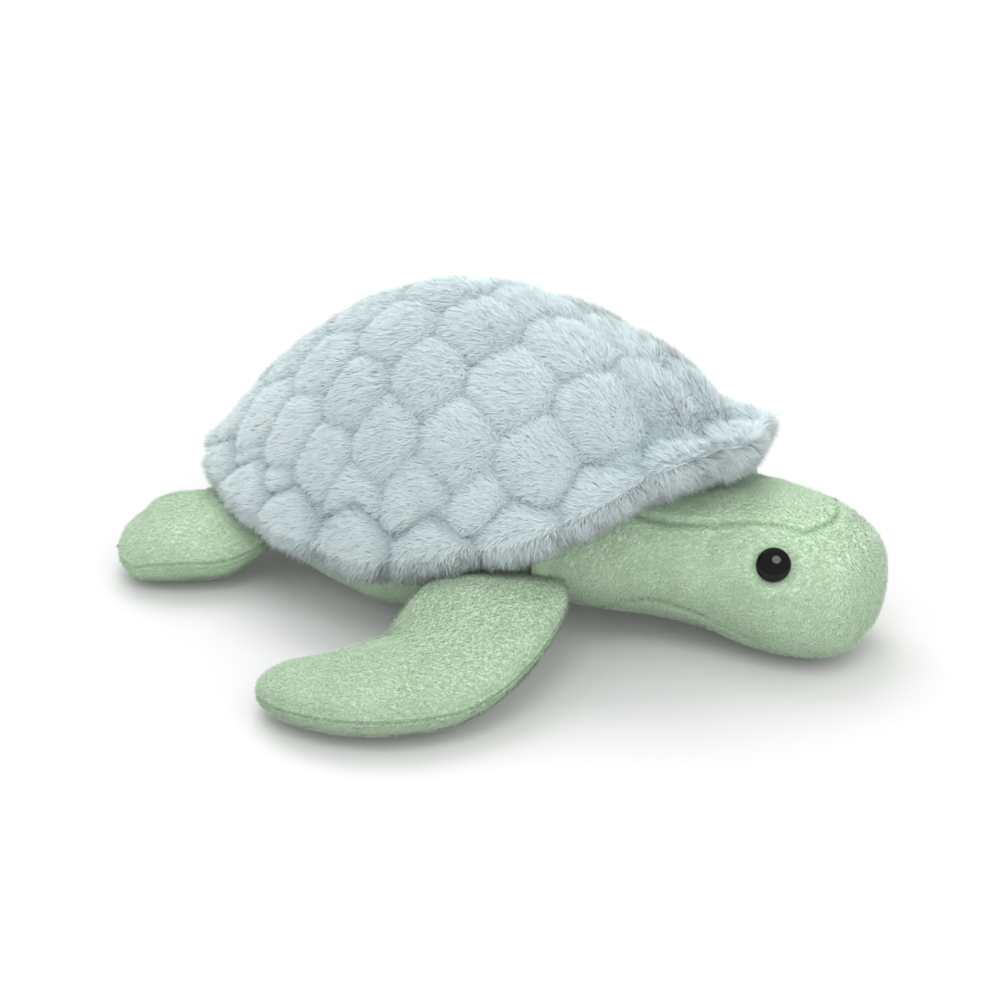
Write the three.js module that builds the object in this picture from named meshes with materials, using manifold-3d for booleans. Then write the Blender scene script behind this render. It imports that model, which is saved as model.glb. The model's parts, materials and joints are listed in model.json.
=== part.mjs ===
// A stuffed sea turtle: a quilted carapace over a soft belly, four sewn flippers that
// flap at their root seams, and a head that nods and turns on a firm wad in the neck.
// Millimetres. +X runs to the nose, +Y to the turtle's left, +Z up. The origin is on
// the floor, under the middle of the belly.
import * as THREE from 'three';
import { mergeVertices } from 'three/addons/utils/BufferGeometryUtils.js';
import Module from 'manifold-3d';

const wasm = await Module();
wasm.setup();

// Driving sizes of the carapace, measured to the backing of the pile
const shellFrontReach = 125.5;
const shellRearReach = 118;
const shellHalfWidth = 85;
const shellHeight = 124.8;
const shellCentreX = -1.6;
const shellCrownX = 3;
const rimHeight = 39;
const rimFrontLift = 41;
const rimRearLift = 2;
const rimRollRadius = 6.5;
const rimFrontSwell = 3.5;

// Driving sizes of the quilting: where its hexagons lie in the cloth, from the crown
const quiltThickness = 4.5;
const scutePuff = 4.6;
const scutePitch = 37.6;
const scuteRowPitch = 25.1;
const scuteRowSlip = 3.6;
const scuteTurn = 9;
const scuteBack = 19.2;
const scuteAside = 29.7;
const rimStitch = 9;

// Driving sizes of the belly
const bellyInset = 11;

// Driving sizes of the head and neck
const neckTuck = 63.5;
const headLength = 120;
const headHeight = 62;
const headHalfWidth = 37;
const crownGussetLength = 93;
const chinGussetLength = 108;
const sideSeamHeight = 33;
const seamBow = 6;
const neckSeamLead = 10;
const neckPivotLead = 42;
const neckPivotHeight = 36;
const neckBallRadius = 40;
const neckWadRadius = 19;

// Driving sizes of the safety eyes
const eyeRadius = 7;
const eyeBulge = 4;
const eyeSink = 0.9;
const eyeRimHeight = 1;
const eyeStemRadius = 2.2;
const eyeStemLength = 13;
const eyeRidgeDepth = 0.35;
const eyeRidgePitch = 1.5;
const eyeWasherRadius = 7.5;
const eyeWasherThickness = 1.4;

// Driving sizes of the flippers
const frontFlipper = {
  reach: 56,
  sweep: 82.5,
  halfWidth: 32,
  halfHeight: 14,
  rootHeight: 33,
  tipHeight: 10,
};
const rearFlipper = {
  reach: 57,
  sweep: 9,
  halfWidth: 31,
  halfHeight: 15.5,
  rootHeight: 20,
  tipHeight: 12,
};
const sewnEdgeTaper = 1.4;
const restPress = 0.5;

// Cloth and clearances shared by every piece
const clothThickness = 2.2;
const seamGap = 0.3;
const stuffingGap = 0.4;
const seatGap = 0.8;
const hingeGap = 0.6;
const fibreInset = 3;
const cutOverrun = 20;

const shellDepth = quiltThickness + scutePuff;
const neckRootX = shellFrontReach - neckTuck;
const noseReach = neckRootX + headLength;
const neckPivotX = neckRootX + neckPivotLead;
const crownFrontX = neckRootX + crownGussetLength;
const chinFrontX = neckRootX + chinGussetLength;

// Shares and shape exponents
const innerShares = [0.97, 0.82, 0.56, 0.28];
const rimFrontExponent = 2.25;
const rimRearExponent = 1.56;
const rimLiftShares = [1, 1, 0.86, 0.67, 0.46, 0.32, 0.19, 0.07, 0];
const rimSwellExponent = 6;
const domeFallExponent = 1.8;
const domeFallLean = -0.24;
const domeFrontFall = 0.8;
const bellyRoundExponent = 0.62;
const backingShare = 0.98;
const puffRingShares = [0.8, 0.5];
const puffRiseExponent = 2.5;
const puffRoundExponent = 0.6;
const smallestScuteShare = 0.2;
const bellyRingShares = [0, 0.2, 0.4, 0.58, 0.76, 0.93];

// Where each flipper is sewn to the belly's wall, in degrees round from the nose
const frontFlipperBearing = 50;
const rearFlipperBearing = 158;

// Facets
const meridianSteps = 24;
const scuteEdgeSteps = 2;
const rollRings = 3;
const bellyFacets = 36;
const headFacets = 18;
const headRings = 11;
const limbFacets = 6;
const fibreFirstStation = 2;
const ballFacets = 24;
const eyeFacets = 14;
const eyeDomeRings = 4;
const halvings = 30;

const degree = Math.PI / 180;
const vec = (x, y, z) => new THREE.Vector3(x, y, z);
const neckPivot = vec(neckPivotX, 0, neckPivotHeight);

// Materials
const cloth = (color, roughness) => new THREE.MeshStandardMaterial({ color, roughness, metalness: 0 });
const shellCloth = cloth('#b9c9ca', 0.95);
const greenCloth = cloth('#aac8a8', 0.95);
const bellyCloth = cloth('#b4cbb9', 0.95);
const fibre = cloth('#f3f1ea', 1);
const eyeGloss = cloth('#0b0b0d', 0.08);
const washerPlastic = cloth('#e8e8e4', 0.5);

// Smooth curve through evenly spaced values, read at a share from 0 to 1
function through(values, share) {
  const points = values.map((value, index) => new THREE.Vector2(index / (values.length - 1), value));
  return new THREE.SplineCurve(points).getPoint(THREE.MathUtils.clamp(share, 0, 1)).y;
}

// Builds one closed body from triangles, with the faces turned outwards
function closedGeometry(positions) {
  const raw = new THREE.BufferGeometry();
  raw.setAttribute('position', new THREE.Float32BufferAttribute(positions, 3));
  const merged = mergeVertices(raw);
  const index = merged.index.array;
  const place = merged.attributes.position;
  const kept = [];
  let volume = 0;
  for (let i = 0; i < index.length; i += 3) {
    const [a, b, c] = [index[i], index[i + 1], index[i + 2]];
    if (a === b || b === c || c === a) continue;
    kept.push(a, b, c);
    const p = [a, b, c].map((k) => new THREE.Vector3().fromBufferAttribute(place, k));
    volume += p[0].dot(p[1].cross(p[2]));
  }
  if (volume < 0) kept.reverse();
  merged.setIndex(kept);
  return merged;
}

function pushQuad(out, a, b, c, d) {
  for (const p of [a, b, c, a, c, d]) out.push(p.x, p.y, p.z);
}

// Skin through a list of rings, each a loop of points; a ring may be a single point
function pushRings(out, rings) {
  const count = Math.max(...rings.map((ring) => ring.length));
  for (let i = 0; i + 1 < rings.length; i += 1) {
    for (let j = 0; j < count; j += 1) {
      const at = (ring, k) => ring[k % ring.length];
      pushQuad(out, at(rings[i], j), at(rings[i + 1], j), at(rings[i + 1], j + 1), at(rings[i], j + 1));
    }
  }
}

// Closed skin through rings, with its two ends filled
function loft(rings) {
  const out = [];
  const count = Math.max(...rings.map((ring) => ring.length));
  pushRings(out, rings);
  for (const ring of [rings[0], rings[rings.length - 1]]) {
    if (ring.length === 1) continue;
    const middle = ring.reduce((sum, p) => sum.add(p), vec(0, 0, 0)).divideScalar(ring.length);
    const turned = ring === rings[0] ? ring : [...ring].reverse();
    for (let j = 0; j < count; j += 1) {
      pushQuad(out, middle, turned[j], turned[(j + 1) % count], middle);
    }
  }
  return closedGeometry(out);
}

// Closed panel between an outer and an inner sheet, each given as point(along, across)
function panel(outer, inner, alongSteps, acrossSteps) {
  const out = [];
  const sheet = (point) => Array.from({ length: alongSteps + 1 }, (_, i) =>
    Array.from({ length: acrossSteps + 1 }, (_, j) => point(i / alongSteps, j / acrossSteps)));
  const top = sheet(outer);
  const under = sheet(inner);
  for (let i = 0; i < alongSteps; i += 1) {
    for (let j = 0; j < acrossSteps; j += 1) {
      pushQuad(out, top[i][j], top[i + 1][j], top[i + 1][j + 1], top[i][j + 1]);
      pushQuad(out, under[i][j + 1], under[i + 1][j + 1], under[i + 1][j], under[i][j]);
    }
    pushQuad(out, under[i][0], under[i + 1][0], top[i + 1][0], top[i][0]);
    const last = acrossSteps;
    pushQuad(out, top[i][last], top[i + 1][last], under[i + 1][last], under[i][last]);
  }
  for (let j = 0; j < acrossSteps; j += 1) {
    const last = alongSteps;
    pushQuad(out, top[0][j], top[0][j + 1], under[0][j + 1], under[0][j]);
    pushQuad(out, under[last][j], under[last][j + 1], top[last][j + 1], top[last][j]);
  }
  return closedGeometry(out);
}

// The same body on the turtle's other side
function mirrored(geometry) {
  const flipped = geometry.toNonIndexed().scale(1, -1, 1);
  return closedGeometry([...flipped.attributes.position.array]);
}

// Cuts and joins between closed geometries
function solid(geometry) {
  const bare = geometry.clone();
  bare.deleteAttribute('normal');
  bare.deleteAttribute('uv');
  const merged = mergeVertices(bare);
  return new wasm.Manifold(new wasm.Mesh({
    numProp: 3,
    vertProperties: new Float32Array(merged.attributes.position.array),
    triVerts: new Uint32Array(merged.index.array),
  }));
}

function geometryOf(shape) {
  const mesh = shape.getMesh();
  const geometry = new THREE.BufferGeometry();
  geometry.setAttribute('position', new THREE.Float32BufferAttribute(mesh.vertProperties, 3));
  geometry.setIndex([...mesh.triVerts]);
  return geometry;
}

const minus = (geometry, ...tools) =>
  geometryOf(tools.reduce((shape, tool) => shape.subtract(solid(tool)), solid(geometry)));
const common = (first, second) => geometryOf(solid(first).intersect(solid(second)));

function ball(centre, radius) {
  const geometry = new THREE.SphereGeometry(radius, ballFacets, ballFacets / 2);
  return geometry.rotateX(Math.PI / 2).translate(centre.x, centre.y, centre.z);
}

function box(low, high) {
  const size = high.clone().sub(low);
  const middle = high.clone().add(low).divideScalar(2);
  return new THREE.BoxGeometry(size.x, size.y, size.z).translate(middle.x, middle.y, middle.z);
}

// The carapace: its rim seen from above is two half superellipses, longer in front
function rimRadius(bearing) {
  const c = Math.cos(bearing);
  const reach = c > 0 ? shellFrontReach : shellRearReach;
  const exponent = c > 0 ? rimFrontExponent : rimRearExponent;
  const across = Math.abs(Math.sin(bearing)) / shellHalfWidth;
  return ((Math.abs(c) / reach) ** exponent + across ** exponent) ** (-1 / exponent);
}

// Height of the rim's outermost line: it arches up over the neck
function rimLevel(bearing) {
  const c = Math.cos(bearing);
  const away = 2 * Math.acos(Math.abs(c)) / Math.PI;
  const lift = c > 0 ? rimFrontLift * through(rimLiftShares, away) : rimRearLift * c * c;
  return rimHeight + lift;
}

// Radius of the roll that the rim turns under on: it swells over the neck
function rollRadius(bearing) {
  return rimRollRadius + rimFrontSwell * Math.max(Math.cos(bearing), 0) ** rimSwellExponent;
}

function rimPoint(bearing, inset, drop) {
  const radius = rimRadius(bearing) - inset;
  return vec(
    shellCentreX + radius * Math.cos(bearing),
    radius * Math.sin(bearing),
    rimLevel(bearing) - drop,
  );
}

// Point on the dome: share 0 at the crown, 1 at the rim; depth measured inwards
function domePoint(bearing, share, depth) {
  const angle = share * Math.PI / 2;
  const rim = rimPoint(bearing, depth, 0);
  const out = Math.sin(angle);
  const c = Math.cos(bearing);
  const bend = domeFallExponent + domeFallLean * c + domeFrontFall * Math.max(c, 0) ** 2;
  const fall = Math.cos(angle) ** bend;
  const crown = shellHeight - depth;
  return vec(
    shellCrownX + (rim.x - shellCrownX) * out,
    rim.y * out,
    rim.z + (crown - rim.z) * fall,
  );
}

// Length of cloth down the dome from the crown, at even steps of the share
function meridian(bearing) {
  const lengths = [0];
  let last = domePoint(bearing, 0, 0);
  for (let k = 1; k <= meridianSteps; k += 1) {
    const next = domePoint(bearing, k / meridianSteps, 0);
    lengths.push(lengths[k - 1] + next.distanceTo(last));
    last = next;
  }
  return lengths;
}

// Where a spot of the cloth, laid flat round the crown, lies on the dome: its bearing, its
// length of cloth down from the crown, and the whole length down to the rim
function onDome(spot) {
  const down = spot.length();
  const aim = spot.angle();
  let turn = aim;
  for (let k = 0; k < halvings; k += 1) {
    const rim = rimPoint(turn, 0, 0);
    const miss = aim - Math.atan2(rim.y, rim.x - shellCrownX);
    turn += Math.atan2(Math.sin(miss), Math.cos(miss));
  }
  const lengths = meridian(turn);
  return { turn, down, whole: lengths[meridianSteps], lengths };
}

// Point on the quilted cloth: on the dome under that spot, raised outwards by lift
function quiltPoint(spot, lift) {
  const { turn, down, whole, lengths } = onDome(spot);
  if (down === 0) return vec(shellCrownX, 0, shellHeight + lift);
  const reach = Math.min(down, whole);
  const after = Math.max(1, lengths.findIndex((length) => length >= reach));
  const part = (reach - lengths[after - 1]) / (lengths[after] - lengths[after - 1]);
  const share = (after - 1 + part) / meridianSteps;
  const base = domePoint(turn, share, 0);
  const inner = domePoint(turn, share * backingShare, quiltThickness);
  return base.clone().addScaledVector(base.clone().sub(inner).normalize(), lift);
}

// The puffs' middles lie in rows of even pitch, and each row slips along past the last
const scuteAlong = new THREE.Vector2(scutePitch, 0).rotateAround(new THREE.Vector2(), scuteTurn * degree);
const scuteAcross = new THREE.Vector2(scutePitch / 2 + scuteRowSlip, -scuteRowPitch)
  .rotateAround(new THREE.Vector2(), scuteTurn * degree);

function scuteMiddle(column, row) {
  const spot = new THREE.Vector2(-scuteBack, -scuteAside);
  return spot.addScaledVector(scuteAlong, column).addScaledVector(scuteAcross, row);
}

// Corner where three hexagons meet: as far from the first middle as from both others
function scuteCorner(b, c) {
  const area = 2 * b.cross(c);
  const x = (c.y * b.lengthSq() - b.y * c.lengthSq()) / area;
  const y = (b.x * c.lengthSq() - c.x * b.lengthSq()) / area;
  return new THREE.Vector2(x, y);
}

// Outline of a hexagon round its middle, anticlockwise, with its sides in even steps
function hexagon() {
  const slant = scuteAlong.clone().sub(scuteAcross);
  const half = [scuteAlong, slant, scuteAcross.clone().negate()];
  const round = [...half, ...half.map((next) => next.clone().negate())];
  const corners = round.map((next, k) => scuteCorner(next, round[(k + 1) % round.length]));
  return corners.flatMap((corner, k) => Array.from({ length: scuteEdgeSteps }, (_, i) =>
    corner.clone().lerp(corners[(k + 1) % corners.length], i / scuteEdgeSteps)));
}

// The rim's own stitches between two bearings, anticlockwise and without the two ends
function rimSpots(from, to) {
  const span = (to - from + 2 * Math.PI) % (2 * Math.PI);
  const count = Math.max(1, Math.round(span * shellHalfWidth / rimStitch));
  return Array.from({ length: count - 1 }, (_, i) => {
    const aim = from + span * (i + 1) / count;
    const spot = new THREE.Vector2(1, 0).rotateAround(new THREE.Vector2(), aim);
    return spot.multiplyScalar(onDome(spot).whole);
  });
}

// Where the side between an inner and an outer spot crosses the rim
function rimCrossing(inside, outside) {
  const low = inside.clone();
  const high = outside.clone();
  for (let k = 0; k < halvings; k += 1) {
    const middle = low.clone().add(high).multiplyScalar(1 / 2);
    const { down, whole } = onDome(middle);
    if (down < whole) low.copy(middle);
    else high.copy(middle);
  }
  return low;
}

// A puff rises from its seams; along the rim it rises between the two seams that end there
function riseOf(share) {
  return (1 - Math.abs(share) ** puffRiseExponent) ** puffRoundExponent;
}

// Outline of one scute, cut off at the rim: spots with the lift that each has. The spots on
// the rim are also handed to the rim's list
function scuteOutline(middle, rim) {
  const spots = hexagon().map((corner) => corner.add(middle));
  const within = spots.map((spot) => onDome(spot)).map(({ down, whole }) => down < whole);
  if (!within.includes(true)) return [];
  const outline = [];
  const first = within.findIndex((is, i) => is && !within[(i + spots.length - 1) % spots.length]);
  const start = Math.max(first, 0);
  for (let i = 0; i < spots.length; i += 1) {
    const here = (start + i) % spots.length;
    const next = (here + 1) % spots.length;
    if (!within[here]) continue;
    outline.push({ spot: spots[here], lift: -scutePuff });
    if (within[next]) continue;
    let back = next;
    while (!within[(back + 1) % spots.length]) back = (back + 1) % spots.length;
    const leave = rimCrossing(spots[here], spots[next]);
    const enter = rimCrossing(spots[(back + 1) % spots.length], spots[back]);
    const between = rimSpots(leave.angle(), enter.angle());
    const onRim = [leave, ...between, enter].map((spot, k) => ({
      spot,
      lift: scutePuff * (riseOf(2 * k / (between.length + 1) - 1) - 1),
    }));
    outline.push(...onRim);
    rim.push(...onRim.slice(0, -1));
  }
  return outline;
}

// Triangles of one scute: rings drawn in towards its middle, each higher than the last
function pushScute(out, outline) {
  const middle = new THREE.Vector2();
  for (const { spot } of outline) middle.addScaledVector(spot, 1 / outline.length);
  const area = THREE.ShapeUtils.area(outline.map(({ spot }) => spot));
  const small = area < smallestScuteShare * scutePitch * scuteRowPitch;
  const ringAt = (share) => outline.map(({ spot, lift }) =>
    quiltPoint(middle.clone().lerp(spot, share), lift * (1 - riseOf(share))));
  const rings = [1, ...(small ? [] : puffRingShares)].map(ringAt);
  const peak = quiltPoint(middle, small ? -scutePuff / 2 : 0);
  for (const [k, ring] of rings.entries()) {
    const inner = rings[k + 1] ?? ring.map(() => peak);
    for (let i = 0; i < ring.length; i += 1) {
      const j = (i + 1) % ring.length;
      pushQuad(out, ring[i], ring[j], inner[j], inner[i]);
    }
  }
}

// The carapace's cloth: hexagon puffs, the roll under the rim, the lip and the inside
function shellTop() {
  const out = [];
  const rim = [];
  const reach = Math.ceil(2 * (shellFrontReach + shellHeight) / scutePitch);
  for (let column = -reach; column <= reach; column += 1) {
    for (let row = -reach; row <= reach; row += 1) {
      const outline = scuteOutline(scuteMiddle(column, row), rim);
      if (outline.length > 0) pushScute(out, outline);
    }
  }
  const stitches = rim.map(({ spot, lift }) => {
    return { aim: spot.angle(), turn: onDome(spot).turn, edge: quiltPoint(spot, lift), lift };
  });
  stitches.sort((a, b) => a.aim - b.aim);
  const rings = [stitches.map(({ edge }) => edge)];
  for (let k = 1; k <= rollRings; k += 1) {
    const turn = 90 * degree * k / rollRings;
    rings.push(stitches.map((at) => {
      const radius = rollRadius(at.turn);
      return rimPoint(at.turn, radius * (1 - Math.cos(turn)) - at.lift, radius * Math.sin(turn));
    }));
  }
  rings.push(stitches.map((at) =>
    rimPoint(at.turn, bellyInset + clothThickness, rollRadius(at.turn))));
  for (const share of innerShares) {
    rings.push(stitches.map((at) => domePoint(at.turn, share, shellDepth)));
  }
  rings.push([vec(shellCrownX, 0, shellHeight - shellDepth)]);
  pushRings(out, rings);
  return closedGeometry(out);
}

// The belly: a bowl from the seam under the rim down to the flat where the turtle lies
function bellyPoint(bearing, share, depth) {
  const angle = share * Math.PI / 2;
  const seam = rimPoint(bearing, bellyInset + depth, rollRadius(bearing) + 2 * seamGap);
  const out = Math.cos(angle) ** bellyRoundExponent;
  const level = seam.z - (seam.z + restPress - depth) * Math.sin(angle);
  return vec(
    shellCentreX + (seam.x - shellCentreX) * out,
    seam.y * out,
    Math.max(level, depth),
  );
}

// The facets leave the nose and the tail between two corners
const bellyBearings = Array.from({ length: bellyFacets }, (_, i) => Math.PI * (2 * i + 1) / bellyFacets);

function bellyRing(share, depth) {
  return bellyBearings.map((bearing) => bellyPoint(bearing, share, depth));
}

function neckSeat() {
  return ball(neckPivot, neckBallRadius + seatGap);
}

function bellyPanel() {
  const outside = bellyRingShares.map((share) => bellyRing(share, 0)).reverse();
  const inside = bellyRingShares.map((share) => bellyRing(share, clothThickness));
  const bottom = vec(shellCentreX, 0, 0);
  const floor = vec(shellCentreX, 0, clothThickness);
  return minus(loft([[bottom], ...outside, ...inside, [floor]]), neckSeat());
}

function bodyStuffing() {
  const inBelly = clothThickness + 2 * stuffingGap;
  const inShell = shellDepth + fibreInset;
  const rings = bellyRingShares.map((share) => bellyRing(share, inBelly)).reverse();
  rings.unshift([vec(shellCentreX, 0, inBelly)]);
  for (const share of innerShares) {
    rings.push(bellyBearings.map((bearing) => domePoint(bearing, share, inShell)));
  }
  rings.push([vec(shellCrownX, 0, shellHeight - inShell)]);
  return minus(loft(rings), neckSeat());
}

// The head: shares of its height and width at even steps from the neck root to the nose
const headTopShares = [1.02, 1.01, 1, 1, 1.01, 0.985, 0.9, 0.755, 0.45];
const headUnderShares = [0.1, 0.09, 0.085, 0.06, 0, -0.01, 0.02, 0.14, 0.45];
const headWidthShares = [1.08, 1.08, 1.08, 1.02, 1, 0.99, 0.88, 0.63, 0];
const headStepShares = [0, 0.16, 0.32, 0.47, 0.61, 0.74, 0.86, 0.95, 1];

function headRing(share, depth) {
  const nose = noseReach - depth;
  const x = neckRootX + (nose - neckRootX) * through(headStepShares, share);
  const top = headHeight * through(headTopShares, share);
  const under = headHeight * through(headUnderShares, share);
  const middle = (top + under) / 2;
  const pinch = share < 1 ? 1 : 0;
  const halfHeight = Math.max((top - under) / 2 - depth, 0) * pinch;
  const halfWidth = Math.max(headHalfWidth * through(headWidthShares, share) - depth, 0) * pinch;
  if (pinch === 0) return [vec(x, 0, middle)];
  return Array.from({ length: headFacets }, (_, i) => {
    const angle = 2 * Math.PI * i / headFacets;
    const z = middle + halfHeight * Math.sin(angle);
    return vec(x, halfWidth * Math.cos(angle), Math.max(z, depth));
  });
}

function headBody(depth) {
  const shares = Array.from({ length: headRings + 1 }, (_, i) => Math.sin(Math.PI / 2 * i / headRings));
  return loft(shares.map((share) => headRing(share, depth)));
}

// Keeps the head behind its pivot inside the ball that turns in the body's seat
function behindPivotTrim(depth) {
  const far = noseReach + cutOverrun;
  const half = headHalfWidth + cutOverrun;
  const front = box(vec(neckPivotX, -half, -cutOverrun), vec(far, half, headHeight + cutOverrun));
  return geometryOf(solid(front).add(solid(ball(neckPivot, neckBallRadius - depth))));
}

function headSkin() {
  const outside = common(headBody(0), behindPivotTrim(0));
  return minus(outside, headBody(clothThickness));
}

// Upright prism over an outline drawn from above: half widths at even steps, then a
// rounded front edge that bows forward
function prism(halfWidths, startX, endX, bow, low, high) {
  const steps = halfWidths.length - 1;
  const right = halfWidths.map((half, i) => new THREE.Vector2(startX + (endX - startX) * i / steps, -half));
  const left = right.map((p) => new THREE.Vector2(p.x, -p.y)).reverse();
  const shape = new THREE.Shape();
  shape.moveTo(right[0].x, right[0].y);
  shape.splineThru(right.slice(1));
  shape.quadraticCurveTo(endX + 2 * bow, 0, left[0].x, left[0].y);
  shape.splineThru(left.slice(1));
  const options = { depth: high - low, bevelEnabled: false, curveSegments: 5 };
  return new THREE.ExtrudeGeometry(shape, options).translate(0, 0, low);
}

// Crown and chin gussets, seen from above: shares of the head's half width at even steps
// from the neck root to the front seam
const crownShares = [1.11, 1.05, 1, 0.88, 0.72, 0.57, 0.46];
const chinShares = [1.16, 1.16, 1.12, 0.96, 0.85, 0.73, 0.32];
const seamStartX = neckRootX - neckSeamLead;

function crownOutline(grow) {
  const halves = crownShares.map((share) => headHalfWidth * share + grow);
  return prism(halves, seamStartX, crownFrontX + grow, seamBow, sideSeamHeight, headHeight + cutOverrun);
}

function chinOutline(grow) {
  const halves = chinShares.map((share) => headHalfWidth * share + grow);
  const top = sideSeamHeight - seamGap + grow;
  return prism(halves, seamStartX, chinFrontX + grow, seamBow, -cutOverrun, top);
}

function headSide(skin, eye) {
  const low = vec(neckRootX - cutOverrun, seamGap / 2, -cutOverrun);
  const high = vec(noseReach + cutOverrun, headHalfWidth + cutOverrun, headHeight + cutOverrun);
  const side = minus(common(skin, box(low, high)), crownOutline(seamGap), chinOutline(seamGap));
  const stemHole = eyeTool(eye, eyeStemRadius + seamGap, eyeStemLength, cutOverrun);
  return minus(side, stemHole, eyeTool(eye, eyeRadius + seamGap, 0, cutOverrun));
}

// Safety eyes: a domed button on a ridged stem, held by a washer behind the cloth. The
// button is drawn a little into the cloth
const eyeAlongShare = 0.715;
const eyeHeightShare = 0.765;
const ridgeRiseShare = 0.6;

function eyePlace() {
  const x = neckRootX + (noseReach - neckRootX) * eyeAlongShare;
  const z = headHeight * eyeHeightShare;
  const ring = (at) => {
    const share = at / (noseReach - neckRootX) + eyeAlongShare;
    let low = 0;
    let high = 1;
    for (let k = 0; k < halvings; k += 1) {
      const middle = (low + high) / 2;
      if (through(headStepShares, middle) < share) low = middle;
      else high = middle;
    }
    return headRing(low, 0);
  };
  const widthAt = (points, level) => {
    let found = 0;
    for (let i = 0; i < points.length; i += 1) {
      const a = points[i];
      const b = points[(i + 1) % points.length];
      const crosses = (a.z - level) * (b.z - level) <= 0 && a.y > 0 && a.z !== b.z;
      if (crosses) found = Math.max(found, a.y + (b.y - a.y) * (level - a.z) / (b.z - a.z));
    }
    return found;
  };
  const y = widthAt(ring(0), z);
  const overX = widthAt(ring(eyeRadius), z) - widthAt(ring(-eyeRadius), z);
  const overZ = widthAt(ring(0), z + eyeRadius) - widthAt(ring(0), z - eyeRadius);
  const normal = vec(-overX / (2 * eyeRadius), 1, -overZ / (2 * eyeRadius)).normalize();
  return { point: vec(x, y, z).addScaledVector(normal, -eyeSink), normal };
}

function alongEye(geometry, eye) {
  const turn = new THREE.Quaternion().setFromUnitVectors(vec(0, 0, 1), eye.normal);
  return geometry.applyQuaternion(turn).translate(eye.point.x, eye.point.y, eye.point.z);
}

function eyeTool(eye, radius, below, above) {
  const rod = new THREE.CylinderGeometry(radius, radius, below + above, eyeFacets);
  return alongEye(rod.rotateX(Math.PI / 2).translate(0, 0, (above - below) / 2), eye);
}

function eyeButton(eye) {
  const points = [new THREE.Vector2(0, -eyeStemLength)];
  const ridges = Math.floor((eyeStemLength - eyeRimHeight) / eyeRidgePitch);
  for (let k = 0; k < ridges; k += 1) {
    const level = -eyeStemLength + k * eyeRidgePitch;
    points.push(new THREE.Vector2(eyeStemRadius - eyeRidgeDepth, level));
    points.push(new THREE.Vector2(eyeStemRadius, level + eyeRidgePitch * ridgeRiseShare));
  }
  points.push(new THREE.Vector2(eyeStemRadius - eyeRidgeDepth, stuffingGap));
  points.push(new THREE.Vector2(eyeRadius, stuffingGap));
  for (let k = 0; k < eyeDomeRings; k += 1) {
    const angle = 90 * degree * k / eyeDomeRings;
    const rise = stuffingGap + eyeRimHeight + (eyeBulge - eyeRimHeight) * Math.sin(angle);
    points.push(new THREE.Vector2(eyeRadius * Math.cos(angle), rise));
  }
  points.push(new THREE.Vector2(0, stuffingGap + eyeBulge));
  return alongEye(new THREE.LatheGeometry(points, eyeFacets).rotateX(Math.PI / 2), eye);
}

// The washer lies behind the cloth, clear of the cloth's curve
function eyeWasher(eye) {
  const curve = eyeWasherRadius * eyeWasherRadius / headHalfWidth;
  const top = -(clothThickness + curve + stuffingGap);
  const bore = eyeStemRadius + seamGap / 2;
  const bottom = top - eyeWasherThickness;
  const corners = [[bore, bottom], [eyeWasherRadius, bottom], [eyeWasherRadius, top], [bore, top]];
  const points = [...corners, corners[0]].map(([radius, level]) => new THREE.Vector2(radius, level));
  return alongEye(new THREE.LatheGeometry(points, eyeFacets).rotateX(Math.PI / 2), eye);
}

function eyePocket(eye) {
  const stem = eyeTool(eye, eyeStemRadius + stuffingGap, eyeStemLength + stuffingGap, cutOverrun);
  const curve = eyeWasherRadius * eyeWasherRadius / headHalfWidth;
  const depth = clothThickness + curve + eyeWasherThickness + stuffingGap * 2;
  const seat = eyeTool(eye, eyeWasherRadius + stuffingGap, depth, cutOverrun);
  return geometryOf(solid(stem).add(solid(seat)));
}

// Fibre in the head: one wad before the pivot and one behind it, round the firm neck wad
function headFibre(front, tools) {
  const depth = clothThickness + stuffingGap;
  const half = headHalfWidth + cutOverrun;
  const near = neckPivotX + seamGap / 2;
  const low = vec(front ? near : neckRootX - cutOverrun, -half, -cutOverrun);
  const high = vec(front ? noseReach + cutOverrun : near - seamGap, half, headHeight + cutOverrun);
  const inside = common(common(headBody(depth), behindPivotTrim(0)), box(low, high));
  return minus(inside, ball(neckPivot, neckWadRadius + stuffingGap), ...tools);
}

// Flippers. Shares of reach and sweep that the middle line passes on its way to the tip,
// then stations along it with their shares of the half width, half height and drop
const frontSpineShares = { out: [0, 0.4, 0.84, 1, 0.87, 0.64], back: [0, 0.1, 0.31, 0.6, 0.84, 1] };
const rearSpineShares = { out: [0, 0.34, 0.68, 1], back: [0, 0.1, 0.4, 1] };
const stationShares = [0, 0.05, 0.14, 0.28, 0.44, 0.6, 0.75, 0.87, 0.96, 1];
const limbWidthShares = [0.74, 0.83, 0.95, 1, 0.97, 0.92, 0.83, 0.68, 0.4, 0];
const limbHeightShares = [0.06, 0.3, 0.76, 1, 1, 0.97, 0.86, 0.66, 0.38, 0];
const limbDropShares = [0, 0.03, 0.14, 0.45, 0.78, 0.95, 1, 1, 1, 1];
const squareRootShare = 0.3;
const limbStations = stationShares.length - 1;

// The belly's wall at a height above the floor
function bellyWall(bearing, height) {
  const seam = rimPoint(bearing, bellyInset, rollRadius(bearing) + 2 * seamGap);
  const rise = THREE.MathUtils.clamp((seam.z - height) / (seam.z + restPress), 0, 1);
  return bellyPoint(bearing, Math.asin(rise) / (Math.PI / 2), 0);
}

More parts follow.
